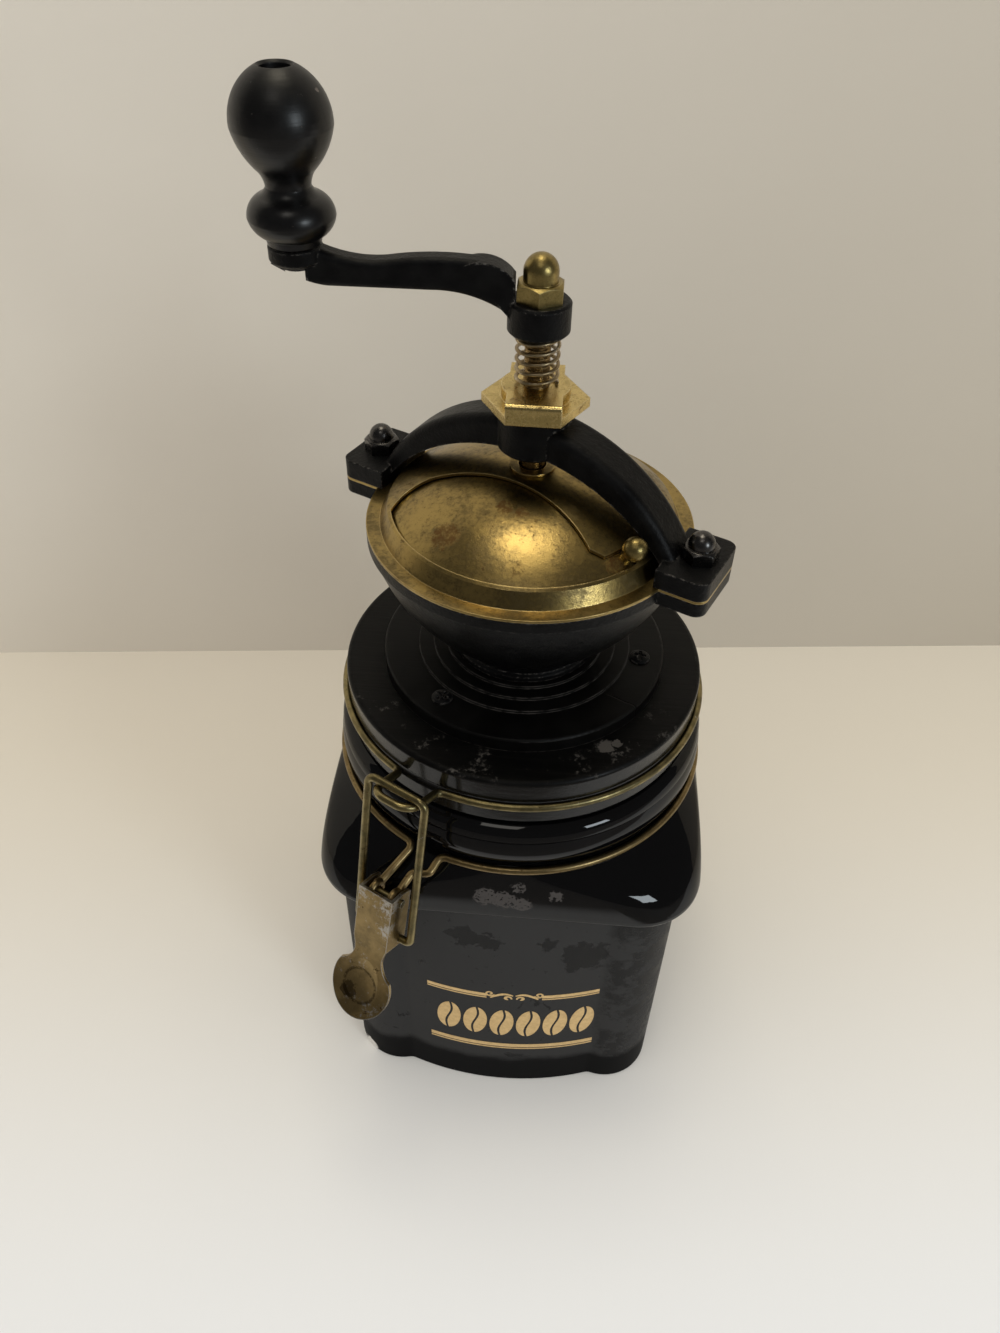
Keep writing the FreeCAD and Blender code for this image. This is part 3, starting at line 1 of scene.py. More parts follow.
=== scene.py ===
# %% [markdown]
# # A hand coffee mill on a clip-top jar
#
# The mill stands on a table: a cast hopper with a brass cover, a bridge and a crank, screwed to the wooden
# lid of a black glazed jar. The solids come from the packed CAD model and keep their shape and place.
# This lesson gives every one of them a finish, adds what a solid doesn't carry, and lights the whole.
#
# A finish could be painted as an image, but a procedural one is sharp at any distance and needs no files.
# So everything here is made of noise, distances and colours, in the object's own coordinates. All sizes and
# places on the object are millimetres, as in the CAD model; the stage's corners and the lamps are in metres.

# %% Load the frame
import math

import bmesh
import bpy
from mathutils import Matrix, Vector


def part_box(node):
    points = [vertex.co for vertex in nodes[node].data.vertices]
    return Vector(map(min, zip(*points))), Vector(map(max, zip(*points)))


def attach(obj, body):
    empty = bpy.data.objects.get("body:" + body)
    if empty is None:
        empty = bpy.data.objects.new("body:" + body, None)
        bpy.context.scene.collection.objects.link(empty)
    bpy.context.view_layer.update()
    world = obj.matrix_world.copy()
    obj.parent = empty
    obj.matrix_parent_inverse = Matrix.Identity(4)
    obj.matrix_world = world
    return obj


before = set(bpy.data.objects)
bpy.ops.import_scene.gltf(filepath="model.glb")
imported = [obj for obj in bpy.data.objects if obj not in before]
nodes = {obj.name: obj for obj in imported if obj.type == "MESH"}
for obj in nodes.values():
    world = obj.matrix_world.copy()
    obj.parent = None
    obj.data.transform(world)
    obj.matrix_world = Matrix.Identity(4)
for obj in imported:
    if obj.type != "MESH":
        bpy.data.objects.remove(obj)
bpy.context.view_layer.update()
MM = 0.001
jar_low, jar_high = (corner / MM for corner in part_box("ceramic_jar"))
LID_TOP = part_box("lid_board")[1].z / MM
PLINTH_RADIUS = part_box("plinth_disc")[1].x / MM
print("jar walls end at", round(jar_high.z, 1), "mm, the lid at", round(LID_TOP, 1), "mm")

# %% [markdown]
# ## The camera
#
# The photograph was taken by hand from above: the camera looks down by 43 degrees, is turned a little to the
# left and tilted a little. A matrix built from the three directions says that more plainly than three angles
# would, because a camera looks along its own -Z, with +Y up and +X to the right.

# %% Place the camera
CAMERA_PLACE = Vector((7.3, -218.05, 345.63)) * MM
YAW, PITCH, ROLL = (math.radians(angle) for angle in (-3.66, 42.83, 1.49))
LENS, SENSOR = 27.8, 36

ahead = Vector((math.sin(YAW) * math.cos(PITCH), math.cos(YAW) * math.cos(PITCH), -math.sin(PITCH)))
level_right = Vector((math.cos(YAW), -math.sin(YAW), 0))
level_up = level_right.cross(ahead)
right = math.cos(ROLL) * level_right + math.sin(ROLL) * level_up
up = math.cos(ROLL) * level_up - math.sin(ROLL) * level_right

camera_data = bpy.data.cameras.new("camera")
camera_data.lens = LENS
camera_data.sensor_width = SENSOR
camera = bpy.data.objects.new("camera", camera_data)
bpy.context.scene.collection.objects.link(camera)
camera.matrix_world = Matrix.Translation(CAMERA_PLACE) @ Matrix((right, up, -ahead)).transposed().to_4x4()
bpy.context.scene.camera = camera
print("camera looks along", [round(part, 2) for part in ahead])

# %% [markdown]
# ## A short way to write shader maths
#
# A mask such as "noise above one half, but only near the edge" is one line of arithmetic, and half a dozen
# Math nodes. So one small class wraps a socket and lets Python's own operators add the nodes, on either side
# of a plain number. All other nodes come from one method: it takes the node's type, its settings, which are
# set first, and the values or links of its sockets.

# %% A value and a node tree
class Shade:
    """A value on its way through a material. Sums and products with it add Math nodes."""

    def __init__(self, maker, socket):
        self.maker = maker
        self.socket = socket

    def math(self, operation, *values):
        """Add one Math node of that operation."""
        return self.maker.node("Math", {"operation": operation}, dict(enumerate(values)))

    def __add__(self, other):
        return self.math("ADD", self, other)

    def __sub__(self, other):
        return self.math("SUBTRACT", self, other)

    def __rsub__(self, other):
        return self.math("SUBTRACT", other, self)

    def __mul__(self, other):
        return self.math("MULTIPLY", self, other)

    def __truediv__(self, other):
        return self.math("DIVIDE", self, other)

    def __rtruediv__(self, other):
        return self.math("DIVIDE", other, self)

    def __pow__(self, other):
        return self.math("POWER", self, other)

    def __abs__(self):
        return self.math("ABSOLUTE", self)

    __radd__ = __add__
    __rmul__ = __mul__

    def ramp(self, low, high):
        """0 up to the low value, 1 from the high one, smooth between. It falls where low is above high."""
        settings = {"interpolation_type": "SMOOTHSTEP"}
        if low < high:
            return self.maker.node("MapRange", settings, {0: self, 1: low, 2: high})
        return self.maker.node("MapRange", settings, {0: self, 1: high, 2: low, 3: 1.0, 4: 0.0})


class Nodes:
    """A node tree being made."""

    def __init__(self, tree):
        self.tree = tree

    def node(self, kind, settings=None, inputs=None, output=0):
        """Add a node of that type and give back one of its outputs."""
        made = self.tree.nodes.new("ShaderNode" + kind)
        for name, setting in (settings or {}).items():
            setattr(made, name, setting)
        for key, value in (inputs or {}).items():
            self.feed(made.inputs[key], value)
        return Shade(self, made.outputs[output])

    def feed(self, socket, value):
        """Link a shade to the socket, or set it to a plain value."""
        if isinstance(value, Shade):
            self.tree.links.new(value.socket, socket)
        else:
            socket.default_value = value


print("operators ready:", ", ".join(name for name in vars(Shade) if name.startswith("__r")))

# %% [markdown]
# A finish is a material with one Principled shader. Its helpers are the few things that all finishes here are
# made of: noise, ragged blots round a point, edges, a mix of two colours, and relief. The coordinates are
# scaled to millimetres once, so that every size below can be read off a ruler.

# %% The finish
BEVEL_SAMPLES = 6


class Finish(Nodes):
    """A material being made: a Principled shader and the nodes that feed it."""

    def __init__(self, name, **constants):
        self.material = bpy.data.materials.new(name)
        self.material.use_nodes = True
        super().__init__(self.material.node_tree)
        self.shader = self.tree.nodes["Principled BSDF"]
        self.feed_shader(**constants)
        metres = self.node("TexCoord", output="Object")
        self.place = self.node("VectorMath", {"operation": "SCALE"}, {0: metres, "Scale": 1 / MM})

    def feed_shader(self, **inputs):
        """Feed the shader's sockets, written as base_color for Base Color and so on."""
        for name, value in inputs.items():
            if isinstance(value, tuple):
                value = (*value, 1.0)
            socket_name = name.replace("_", " ").title().replace("Ior", "IOR")
            self.feed(self.shader.inputs[socket_name], value)

    def axes(self, letters):
        """The surface's coordinates along the axes with those letters."""
        split = self.node("SeparateXYZ", inputs={0: self.place}).socket.node
        return [Shade(self, split.outputs[letter]) for letter in letters]

    def noise(self, size, detail=3.0, roughness=0.55, twist=0.0, turn=0.0):
        """Soft random cloud with patches of that size. Three sizes, one along each axis, stretch it; the
        turn about Z then only picks another part of the cloud."""
        vector, scale = self.place, 1.0
        if isinstance(size, tuple):
            vector = self.node("Mapping", {"vector_type": "POINT"}, {
                "Vector": vector, "Rotation": (0, 0, turn), "Scale": tuple(1 / part for part in size)})
        else:
            scale = 1 / size
        return self.node("TexNoise", {}, {
            "Vector": vector, "Scale": scale, "Detail": detail, "Roughness": roughness, "Distortion": twist})

    def from_point(self, point):
        """Distance from a point."""
        return self.node("VectorMath", {"operation": "DISTANCE"}, {0: self.place, 1: point}, output="Value")

    def blot(self, point, radius, rough, grain):
        """A spot of about that radius round a point. Its edge is ragged by bites of the grain."""
        ragged = self.from_point(point) / radius + (self.noise(grain) - 0.5) * (4 * rough)
        return ragged.ramp(1.1, 0.75)

    def blots(self, spots):
        """Several blots at once, each given as a blot's four values."""
        return sum(self.blot(*spot) for spot in spots)

    def mix(self, mask, first, second):
        """The first colour where the mask is 0 and the second where it is 1."""
        pair = [(*colour, 1.0) if isinstance(colour, tuple) else colour for colour in (first, second)]
        return self.node("Mix", {"data_type": "RGBA"}, {0: mask, 6: pair[0], 7: pair[1]}, output=2)

    def blend(self, mask, first, second):
        """The same for two numbers."""
        return self.node("Mix", {"data_type": "FLOAT"}, {0: mask, 2: first, 3: second})

    def edges(self, width):
        """1 at an edge, falling to 0 at that width from it: the rounded normal leaves the true one there."""
        rounded = self.node("Bevel", {"samples": BEVEL_SAMPLES}, {"Radius": width * MM})
        normals = {0: rounded, 1: self.node("NewGeometry", output="Normal")}
        return (1 - self.node("VectorMath", {"operation": "DOT_PRODUCT"}, normals, output="Value")) * 4

    def relief(self, height, depth, rounding=0.0):
        """Bump of that depth, on edges that look rounded by the rounding."""
        inputs = {"Height": height, "Distance": depth * MM, "Strength": 1.0}
        if rounding:
            inputs["Normal"] = self.node("Bevel", {"samples": BEVEL_SAMPLES}, {"Radius": rounding * MM})
        self.feed_shader(normal=self.node("Bump", {}, inputs))

    def put_on(self, *names):
        """Give the finish to those solids."""
        for name in names:
            slots = nodes[name].data.materials
            slots.clear()
            slots.append(self.material)
        print(self.material.name, "on", ", ".join(names))


print("finish helpers:", ", ".join(name for name in vars(Finish) if not name.startswith("_")))

# %% [markdown]
# ## Black glaze
#
# The jar is dipped in black glaze, which is glass over clay: nearly black, with sharp reflections. Age shows
# as a dull grey film on the walls, worn away in ragged patches. Along the foot the film is left off and the
# coat
# is thinner, so the foot is dark: painted shade, for the shadowed floor close under the foot that it
# reflects.
# The front of the shoulder is rubbed where hands and the clip touch it, and a chip at the foot shows the pale
# clay. The gloss is a coat over a dull black base, so that the film can dim it.

# %% Make the glaze
WALL_TOP = jar_high.z
FOOT_TOP = 15
FILM_HOLES = (((-12, -53.7, 86.5), 5, 0.75, 4), ((-5, -54.2, 84.5), 4, 0.75, 3),
              ((13, -53.4, 84), 3.2, 0.7, 3), ((24, -51.4, 76), 8, 0.5, 5))
SHOULDER_RUBS = (((-5.5, -54.5, 107.6), 3.6, 0.4, 1.6), ((-0.5, -54.6, 106.8), 3.6, 0.4, 1.6),
                 ((4.5, -54.5, 105.6), 3.0, 0.4, 1.6), ((3.5, -53.9, 111.9), 1.9, 0.5, 1.2),
                 ((13.7, -54.3, 109.6), 2.0, 0.5, 1.2))
FOOT_CHIP = ((-46, -46.5, 1.5), 3.4, 0.3, 1.5)

glaze = Finish("black_glaze", specular_ior_level=0.0, coat_roughness=0.035)
x, y, z = glaze.axes("XYZ")
wall = z.ramp(WALL_TOP + 0.1, WALL_TOP - 0.9)
# The foot band is painted shade: the film is left off there and the coat thinned, for the shadowed floor it
# reflects.
painted_foot_shade = (z + (glaze.noise(12) - 0.5) * 6).ramp(FOOT_TOP + 2.5, FOOT_TOP - 2.5)
patches = glaze.noise(15, 5, 0.66, twist=0.6).ramp(0.62, 0.68)
right_corner = x.ramp(28, 34) * y.ramp(-28, -38) * glaze.noise(9, 4, 0.7).ramp(0.4, 0.6) * 0.8
specks = glaze.noise(2.4, 4, 0.7).ramp(0.64, 0.68)
clean = (patches + glaze.blots(FILM_HOLES) + right_corner + specks * 0.6).ramp(0.0, 1.0)
film = wall * (1 - clean) * (1 - painted_foot_shade)
rubbed = (glaze.blots(SHOULDER_RUBS) * glaze.noise(1.6, 3, 0.7).ramp(0.36, 0.5)).ramp(0.0, 0.8)
chip = glaze.blot(*FOOT_CHIP)
spoilt = (rubbed + chip).ramp(0.0, 1.0)
black = glaze.mix(film, (0.0016, 0.0016, 0.0018), (0.026, 0.0258, 0.0257))
worn = glaze.mix(rubbed * 0.6, black, (0.085, 0.078, 0.074))
glaze.feed_shader(base_color=glaze.mix(chip, worn, (0.62, 0.6, 0.56)), roughness=0.3 + film * 0.3,
                  coat_weight=glaze.blend(wall, 0.6, 0.34 - film * 0.18 - painted_foot_shade * 0.2) * (1 - spoilt * 0.8))
glaze.relief(glaze.noise(9, 2, 0.4) * 0.2 + rubbed * 0.03 - chip * 0.3, 1.0)
glaze.put_on("ceramic_jar", "ceramic_neck")

# %% [markdown]
# ## Painted wood
#
# The lid and the plinth are turned from one wood and painted black. The top is matt and rubbed: fine grain
# shows through, and grey scuffs run round its front where hands and the clip meet it. The sides kept their
# gloss. Grain is noise stretched along the boards, and level and radius tell top from side.

# %% Make the paint of the lid
GRAIN_TURN = 0.35
LID_NICKS = (((23.5, -35, 150), 2.2, 0.5, 1.3), ((26.5, -33.6, 150), 1.4, 0.5, 1.0))

wood = Finish("black_wood", specular_ior_level=0.15, coat_roughness=0.1)
x, y, z = wood.axes("XYZ")
radius = (x * x + y * y) ** 0.5
grain = wood.noise((20, 1.1, 4), 4, 0.6, turn=GRAIN_TURN)
pores = wood.noise((6, 0.35, 1), 3, 0.7, turn=GRAIN_TURN)
top = z.ramp(LID_TOP - 1.5, LID_TOP - 0.3)
rim_front = y.ramp(-8, -34) * radius.ramp(PLINTH_RADIUS - 0.6, PLINTH_RADIUS + 1.4)
scuffed = wood.noise(7, 5, 0.72).ramp(0.5, 0.62) * wood.noise(1.3, 3, 0.75).ramp(0.45, 0.62) * top * rim_front
rubbed_edge = wood.edges(0.5).ramp(0.08, 0.5) * wood.noise(2, 3, 0.7).ramp(0.4, 0.62)
grey = (scuffed * 0.8 + wood.blots(LID_NICKS).ramp(0.0, 1.0) + rubbed_edge * 0.5).ramp(0.0, 1.0)
paint = wood.mix(grain.ramp(0.3, 0.75), (0.0008, 0.0008, 0.0007), (0.0028, 0.0026, 0.0023))
wood.feed_shader(base_color=wood.mix(grey, paint, (0.055, 0.05, 0.044)),
                 roughness=wood.blend(grey, 0.14 + top * 0.28 + pores * 0.1, 0.62),
                 coat_weight=(1 - top) * (1 - grey) * 0.32)
wood.relief(grain * 0.5 + pores * 0.25 - grey * 0.7, 0.16, rounding=0.35)
wood.put_on("lid_board", "lid_plug")

# %% [markdown]
# The plinth is painted like the lid. The ridges of its turned steps are grey, partly rubbed paint and partly
# painted highlight where the edges catch the light, which is what makes them visible at all. The wood has
# split along a short line on the right: a line is where a sum of x and y is near a constant, and two ramps
# give it an end.

# %% Make the paint of the plinth
SPLIT_ALONG = (0.42, 0.91)
SPLIT_OFFSET = 8.3

plinth = Finish("plinth_paint", specular_ior_level=0.15)
x, y = plinth.axes("XY")
ring_edges_worn_and_lit = plinth.edges(0.5).ramp(0.03, 0.3)
swirl = plinth.noise((20, 1.4, 4), 4, 0.65, turn=GRAIN_TURN)
patches = plinth.noise(12, 4, 0.6)
line = x * SPLIT_ALONG[0] + y * SPLIT_ALONG[1] + SPLIT_OFFSET + (plinth.noise(5) - 0.5) * 1.4
split = abs(line).ramp(0.3, 0.1) * x.ramp(23, 26) * y.ramp(4, -6)
# The grey on the ring edges is partly rubbed paint and partly painted highlight.
worn = ring_edges_worn_and_lit * plinth.noise(2.5, 3, 0.7).ramp(0.34, 0.6)
paint = plinth.mix(patches.ramp(0.35, 0.7), (0.0012, 0.0011, 0.001), (0.003, 0.0028, 0.0026))
plinth.feed_shader(base_color=plinth.mix(worn * 0.8, plinth.mix(split, paint, (0.0006, 0.0006, 0.0006)),
                                         (0.055, 0.051, 0.046)),
                   roughness=plinth.blend(worn, 0.3 + patches * 0.22, 0.5))
plinth.relief(swirl * 0.4 + patches * 0.4 - split * 2.5, 0.14, rounding=0.3)
plinth.put_on("plinth_disc")

# %% [markdown]
# ## Black casting
#
# Hopper, bridge, bearing bar and crank are iron castings under a coat of black enamel. The surface has the
# pitted skin of the sand mould, the enamel pools over it, and at the edges it is rubbed through to grey metal
# in small specks. The Bevel node finds the edges: where its rounded normal leaves the true one, there is one.
# The plinth's screws were painted black along with the wood round them, and share this finish.

# %% Make the casting
casting = Finish("black_casting", specular_ior_level=0.14)
skin = casting.noise(1.1, 5, 0.62)
lumps = casting.noise(5, 3, 0.5)
pits = casting.noise(0.45, 2, 0.5)
bare_edges = casting.edges(0.9).ramp(0.06, 0.7) * casting.noise(1.0, 4, 0.75).ramp(0.47, 0.62)
bare_specks = casting.noise(0.8, 4, 0.8).ramp(0.7, 0.76) * casting.noise(9).ramp(0.45, 0.6) * 0.7
rubbed = (bare_edges + bare_specks).ramp(0.0, 1.0)
enamel = casting.mix(lumps.ramp(0.3, 0.7), (0.0014, 0.0014, 0.0016), (0.0034, 0.0034, 0.0034))
casting.feed_shader(base_color=casting.mix(rubbed, enamel, (0.14, 0.13, 0.118)),
                    roughness=casting.blend(rubbed, 0.3 + lumps * 0.16, 0.55),
                    metallic=rubbed * 0.5)
casting.relief(skin * 0.6 + lumps * 0.8 + pits * 0.3 - rubbed * 0.3, 0.22, rounding=0.5)
casting.put_on("bridge", "crank_arm", "hopper_bowl", "bearing_bar", "plinth_screws")

# %% [markdown]
# ## Brass
#
# The cover is pressed from brass sheet. Its lacquer has gone in cloudy patches: gold in between, olive and
# brown where it is tarnished, and a few rust-red spots. Bright and dull places differ in roughness as well as
# in colour. Nuts, ball and spindle are metal of another age, so each has its own colours in the same recipe.

# %% Make the brasses
def brass(name, bright, dull, stain, patch, rough, spots=(), wear=None, stained=0.5):
    """Tarnished brass: three colours, the size of its patches, its roughest roughness and its rust spots."""
    made = Finish(name, metallic=1.0)
    cloud = made.noise(patch, 5, 0.6)
    fine = made.noise(patch / 9, 4, 0.72)
    grit = made.noise(0.4, 3, 0.7)
    tarnish = (cloud * 0.6 + fine * 0.4).ramp(0.4, 0.61)
    brown = made.noise(patch * 0.6, 5, 0.7, twist=0.4).ramp(0.66 - stained * 0.14, 0.8 - stained * 0.1)
    specks = (fine * 0.45 + grit * 0.55).ramp(0.55, 0.63)
    colour = made.mix((brown + specks * 0.6).ramp(0.0, 1.0), made.mix(tarnish, bright, dull), stain)
    dulled = (tarnish * 0.6 + brown * 0.7 + specks * 0.2).ramp(0.0, 1.1)
    for place, size in spots:
        rust = made.blot(place, size, 0.45, 1.0)
        colour = made.mix(rust * fine.ramp(0.3, 0.6) * 0.75, colour, (0.17, 0.082, 0.028))
        dulled = (dulled + rust).ramp(0.0, 1.0)
    if wear:
        rim = made.edges(0.6).ramp(0.05, 0.5) * fine.ramp(0.3, 0.55)
        colour = made.mix(rim, colour, wear)
    made.feed_shader(base_color=colour, roughness=made.blend(dulled, rough * 0.6, rough))
    made.relief(fine * 0.35 + cloud * 0.25 + grit * 0.25, 0.1, rounding=0.25)
    return made


COVER_RUST = (((-5.5, -14.6, 208), 2.2), ((-1.5, -16.2, 207.8), 1.6), ((-19, -21, 203.4), 3.4),
              ((21, -25, 200.5), 2.6))
NUT_RUST = (((1.5, -10.6, 232), 0.45),)

cover = brass("cover_brass", (0.42, 0.3, 0.105), (0.2, 0.148, 0.062), (0.115, 0.07, 0.028), 11, 0.46,
              spots=COVER_RUST, wear=(0.66, 0.5, 0.22))
cover.put_on("dome_cover", "dome_ferrule", "shutter_shell")
nut = brass("nut_brass", (0.76, 0.58, 0.24), (0.56, 0.43, 0.17), (0.3, 0.19, 0.07), 5, 0.4,
            spots=NUT_RUST, wear=(0.85, 0.7, 0.38), stained=0.6)
nut.put_on("adjusting_nut")
acorn = brass("acorn_brass", (0.38, 0.29, 0.11), (0.26, 0.2, 0.075), (0.17, 0.12, 0.045), 4, 0.46,
              wear=(0.46, 0.36, 0.16), stained=0.2)
acorn.put_on("acorn_nut", "shutter_knob")
spindle = brass("spindle_metal", (0.36, 0.25, 0.11), (0.24, 0.16, 0.07), (0.13, 0.075, 0.03), 4, 0.4)
spindle.put_on("spindle")

# %% [markdown]
# ## Plated wire and sheet
#
# The clip's wires and the lever were plated. The plating is olive and dull where nobody touches it, brown
# where it rusts, and silvery where fingers and other wires rub it. The lever is the most handled piece, so
# its rims are nearly white and only its middle is still yellow. Its pad has a pressed dish with grime in it:
# the dish's rim is all points at one distance from its centre.

# %% Make the platings
def plating(name, fresh, dull, rust, rubbed, share, patch=4.0, dish=None):
    """Worn plating: dull patches, a little rust, and bright metal over that share; grime lies in a dish."""
    made = Finish(name, metallic=1.0)
    cloud = made.noise(patch, 4, 0.65)
    fine = made.noise(0.7, 4, 0.75)
    handled = made.noise(patch * 1.4, 4, 0.7) + share - 0.5 + made.edges(0.5).ramp(0.05, 0.6) * 0.35
    bare = (handled + (fine - 0.5) * 0.4).ramp(0.5, 0.62)
    rusty = (made.noise(patch * 0.8, 5, 0.75, twist=0.5) + (fine - 0.5) * 0.3).ramp(0.6, 0.7)
    colour = made.mix(rusty, made.mix(bare, made.mix(cloud.ramp(0.35, 0.65), fresh, dull), rubbed), rust)
    if dish:
        centre, radius, grime = dish
        rim = abs(made.from_point(centre) - radius).ramp(0.7, 0.2)
        dirt = made.blot(grime, radius * 0.5, 0.5, 2.0) * 0.7 + rim * fine.ramp(0.3, 0.55) * 0.7
        colour = made.mix(dirt.ramp(0.0, 1.0), colour, (0.06, 0.04, 0.016))
    made.feed_shader(base_color=colour, roughness=0.24 + cloud * 0.2 + rusty * 0.3)
    made.relief(fine * 0.5 + cloud * 0.4 - rusty * 0.4, 0.07, rounding=0.15)
    return made


LEVER_DISH = ((-38.9, -70.9, 84.2), 5.2, (-42.5, -71.5, 82.2))

wire = plating("wire_plating", (0.32, 0.26, 0.12), (0.18, 0.15, 0.075), (0.13, 0.075, 0.03),
               (0.6, 0.57, 0.5), 0.33)
wire.put_on("latch_link", "lid_wire", "lever_pin")
neck_wire = plating("neck_wire_plating", (0.33, 0.24, 0.11), (0.22, 0.16, 0.075), (0.14, 0.08, 0.035),
                    (0.5, 0.43, 0.3), 0.2)
neck_wire.put_on("neck_wire")
lever = plating("lever_plating", (0.42, 0.3, 0.13), (0.26, 0.19, 0.085), (0.08, 0.048, 0.022),
                (0.6, 0.57, 0.52), 0.44, patch=6.0, dish=LEVER_DISH)
lever.put_on("latch_lever")
spring = plating("spring_plating", (0.45, 0.36, 0.22), (0.3, 0.22, 0.12), (0.2, 0.12, 0.06),
                 (0.62, 0.56, 0.46), 0.45, patch=3.0)
spring.put_on("spring")

# %% [markdown]
# ## Steel, burrs, seal and knob
#
# The small bolts and domed nuts are darkened steel, the burrs are hard iron with a milled look, and the seal
# is pale rubber. Most of them are hardly seen with the lid shut, so a cloud and a relief are enough for each.

# %% Make the small finishes
steel = Finish("dark_steel", metallic=1.0)
cloud = steel.noise(2.5, 4, 0.65)
rust = steel.noise(1.4, 4, 0.8).ramp(0.6, 0.7)
bolt_grey = steel.mix(cloud, (0.06, 0.058, 0.06), (0.12, 0.115, 0.11))
steel.feed_shader(base_color=steel.mix(rust, bolt_grey, (0.1, 0.065, 0.04)),
                  roughness=0.2 + cloud * 0.14 + rust * 0.3)
steel.relief(cloud, 0.08, rounding=0.3)
steel.put_on("ear_nuts", "ear_bolts", "bar_screws", "burr_pin", "knob_bolt")

burrs = Finish("burr_iron", metallic=1.0)
lines = burrs.noise((0.4, 0.4, 6), 3, 0.6)
burrs.feed_shader(base_color=burrs.mix(lines, (0.16, 0.155, 0.15), (0.3, 0.285, 0.26)),
                  roughness=0.3 + lines * 0.3)
burrs.relief(lines, 0.05, rounding=0.2)
burrs.put_on("ring_burr", "cone_burr")

rubber = Finish("seal_rubber", specular_ior_level=0.35)
bloom = rubber.noise(3, 4, 0.6)
rubber.feed_shader(base_color=rubber.mix(bloom, (0.42, 0.38, 0.32), (0.55, 0.51, 0.44)),
                   roughness=0.6 + bloom * 0.2)
rubber.relief(bloom, 0.06)
rubber.put_on("lid_gasket")

# %% [markdown]
# The knob is turned beech under thick black paint: fine rings from the lathe, a soft gloss, and a dull top
# where the palm turns on it. The rings are noise that changes quickly along the axis and hardly across it.

# %% Make the paint of the knob
KNOB_CHIP = ((-43.8, -3.5, 292.5), 0.7, 0.4, 0.6)

knob = Finish("knob_paint", specular_ior_level=0.4)
[z] = knob.axes("Z")
turned = knob.noise((30, 30, 0.7), 3, 0.6)
patches = knob.noise(6, 4, 0.6)
palm = z.ramp(284, 294)
chips = (knob.noise(1.2, 4, 0.75).ramp(0.69, 0.73) + knob.blot(*KNOB_CHIP)).ramp(0.0, 1.0)
coat = knob.mix(patches.ramp(0.35, 0.7), (0.0014, 0.0013, 0.0016), (0.0036, 0.0034, 0.0035))
knob.feed_shader(base_color=knob.mix(chips * 0.7, coat, (0.12, 0.1, 0.085)),
                 roughness=0.22 + patches * 0.16 + palm * 0.12)
knob.relief(turned * 0.35 + patches * 0.5 - chips * 0.4, 0.12, rounding=0.3)
knob.put_on("knob_grip")

# %% [markdown]
# ## The gilt label
#
# The jar's front carries a gilt transfer: a row of coffee beans between two pairs of lines. It could be a
# colour in the glaze, but a thin raised shape keeps its edges sharp. Each shape is drawn flat, given a little
# thickness, and then bent onto the bulging front, whose radius is the one of the jar's own solid.

# %% Bend a flat drawing onto the front
FACE_RADIUS = 95.525
FACE_DEPTH = -jar_low.y
LEAF = 0.09


def on_front(across, height, lift):
    """The point of the jar's front at that place across and height, lifted off the glaze."""
    back = FACE_RADIUS - FACE_DEPTH
    return Vector((across, back - math.sqrt((FACE_RADIUS + lift) ** 2 - across ** 2), height)) * MM


def bend_onto_front(drawing):
    """Move the vertices of a flat drawing, x across, y up and z off the face, onto the jar's front."""
    for vertex in drawing.verts:
        vertex.co = on_front(*vertex.co)
    bmesh.ops.recalc_face_normals(drawing, faces=drawing.faces)


def gilt_piece(name, drawing):
    """Make the bent drawing an object that rides on the jar."""
    bend_onto_front(drawing)
    mesh = bpy.data.meshes.new(name)
    drawing.to_mesh(mesh)
    drawing.free()
    piece = bpy.data.objects.new(name, mesh)
    bpy.context.scene.collection.objects.link(piece)
    mesh.materials.append(gilt.material)
    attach(piece, "jar")
    print(name, "has", len(mesh.polygons), "faces")


gilt = Finish("label_gilt", metallic=0.3, specular_ior_level=0.3)
flake = gilt.noise(1.6, 4, 0.7)
gilt.feed_shader(base_color=gilt.mix(flake.ramp(0.35, 0.7), (0.62, 0.43, 0.195), (0.5, 0.34, 0.15)),
                 roughness=0.34 + flake * 0.2)
gilt.relief(flake, 0.03)
print("the front bulges with a radius of", FACE_RADIUS, "mm")

# %% [markdown]
# Every stroke of the label is a flat strip that follows a path. bmesh.ops.create_grid makes it without a list
# of vertices; each vertex is then moved to the path's point and set off from it by half the width.

# %% A strip along a path
STROKE_STEPS = 32


def thicken(drawing, verts):
    """Raise the faces of those vertices by the leaf's thickness."""
    faces = list({face for vertex in verts for face in vertex.link_faces})
    raised = bmesh.ops.extrude_face_region(drawing, geom=faces)["geom"]
    moved = [item for item in raised if isinstance(item, bmesh.types.BMVert)]
    bmesh.ops.translate(drawing, vec=(0, 0, LEAF), verts=moved)


def add_stroke(drawing, path, width):
    """Add a strip along the path, a function from 0..1 to a point; the width may be a function too."""
    verts = bmesh.ops.create_grid(drawing, x_segments=STROKE_STEPS, y_segments=1, size=0.5)["verts"]
    for vertex in verts:
        share, side = vertex.co.x + 0.5, vertex.co.y
        here = Vector(path(share))
        along = (Vector(path(share + 0.01)) - Vector(path(share - 0.01))).normalized()
        wide = width(share) if callable(width) else width
        vertex.co = Vector((here.x - along.y * wide * side, here.y + along.x * wide * side, 0))
    thicken(drawing, verts)


print("a leaf is", LEAF, "mm thick")

# %% [markdown]
# Two pairs of lines frame the label, a broad one and a fine one each. The upper pair leaves a gap in the
# middle for two scrolls that mirror each other: each is a curl, an arched stroke and a smaller curl.

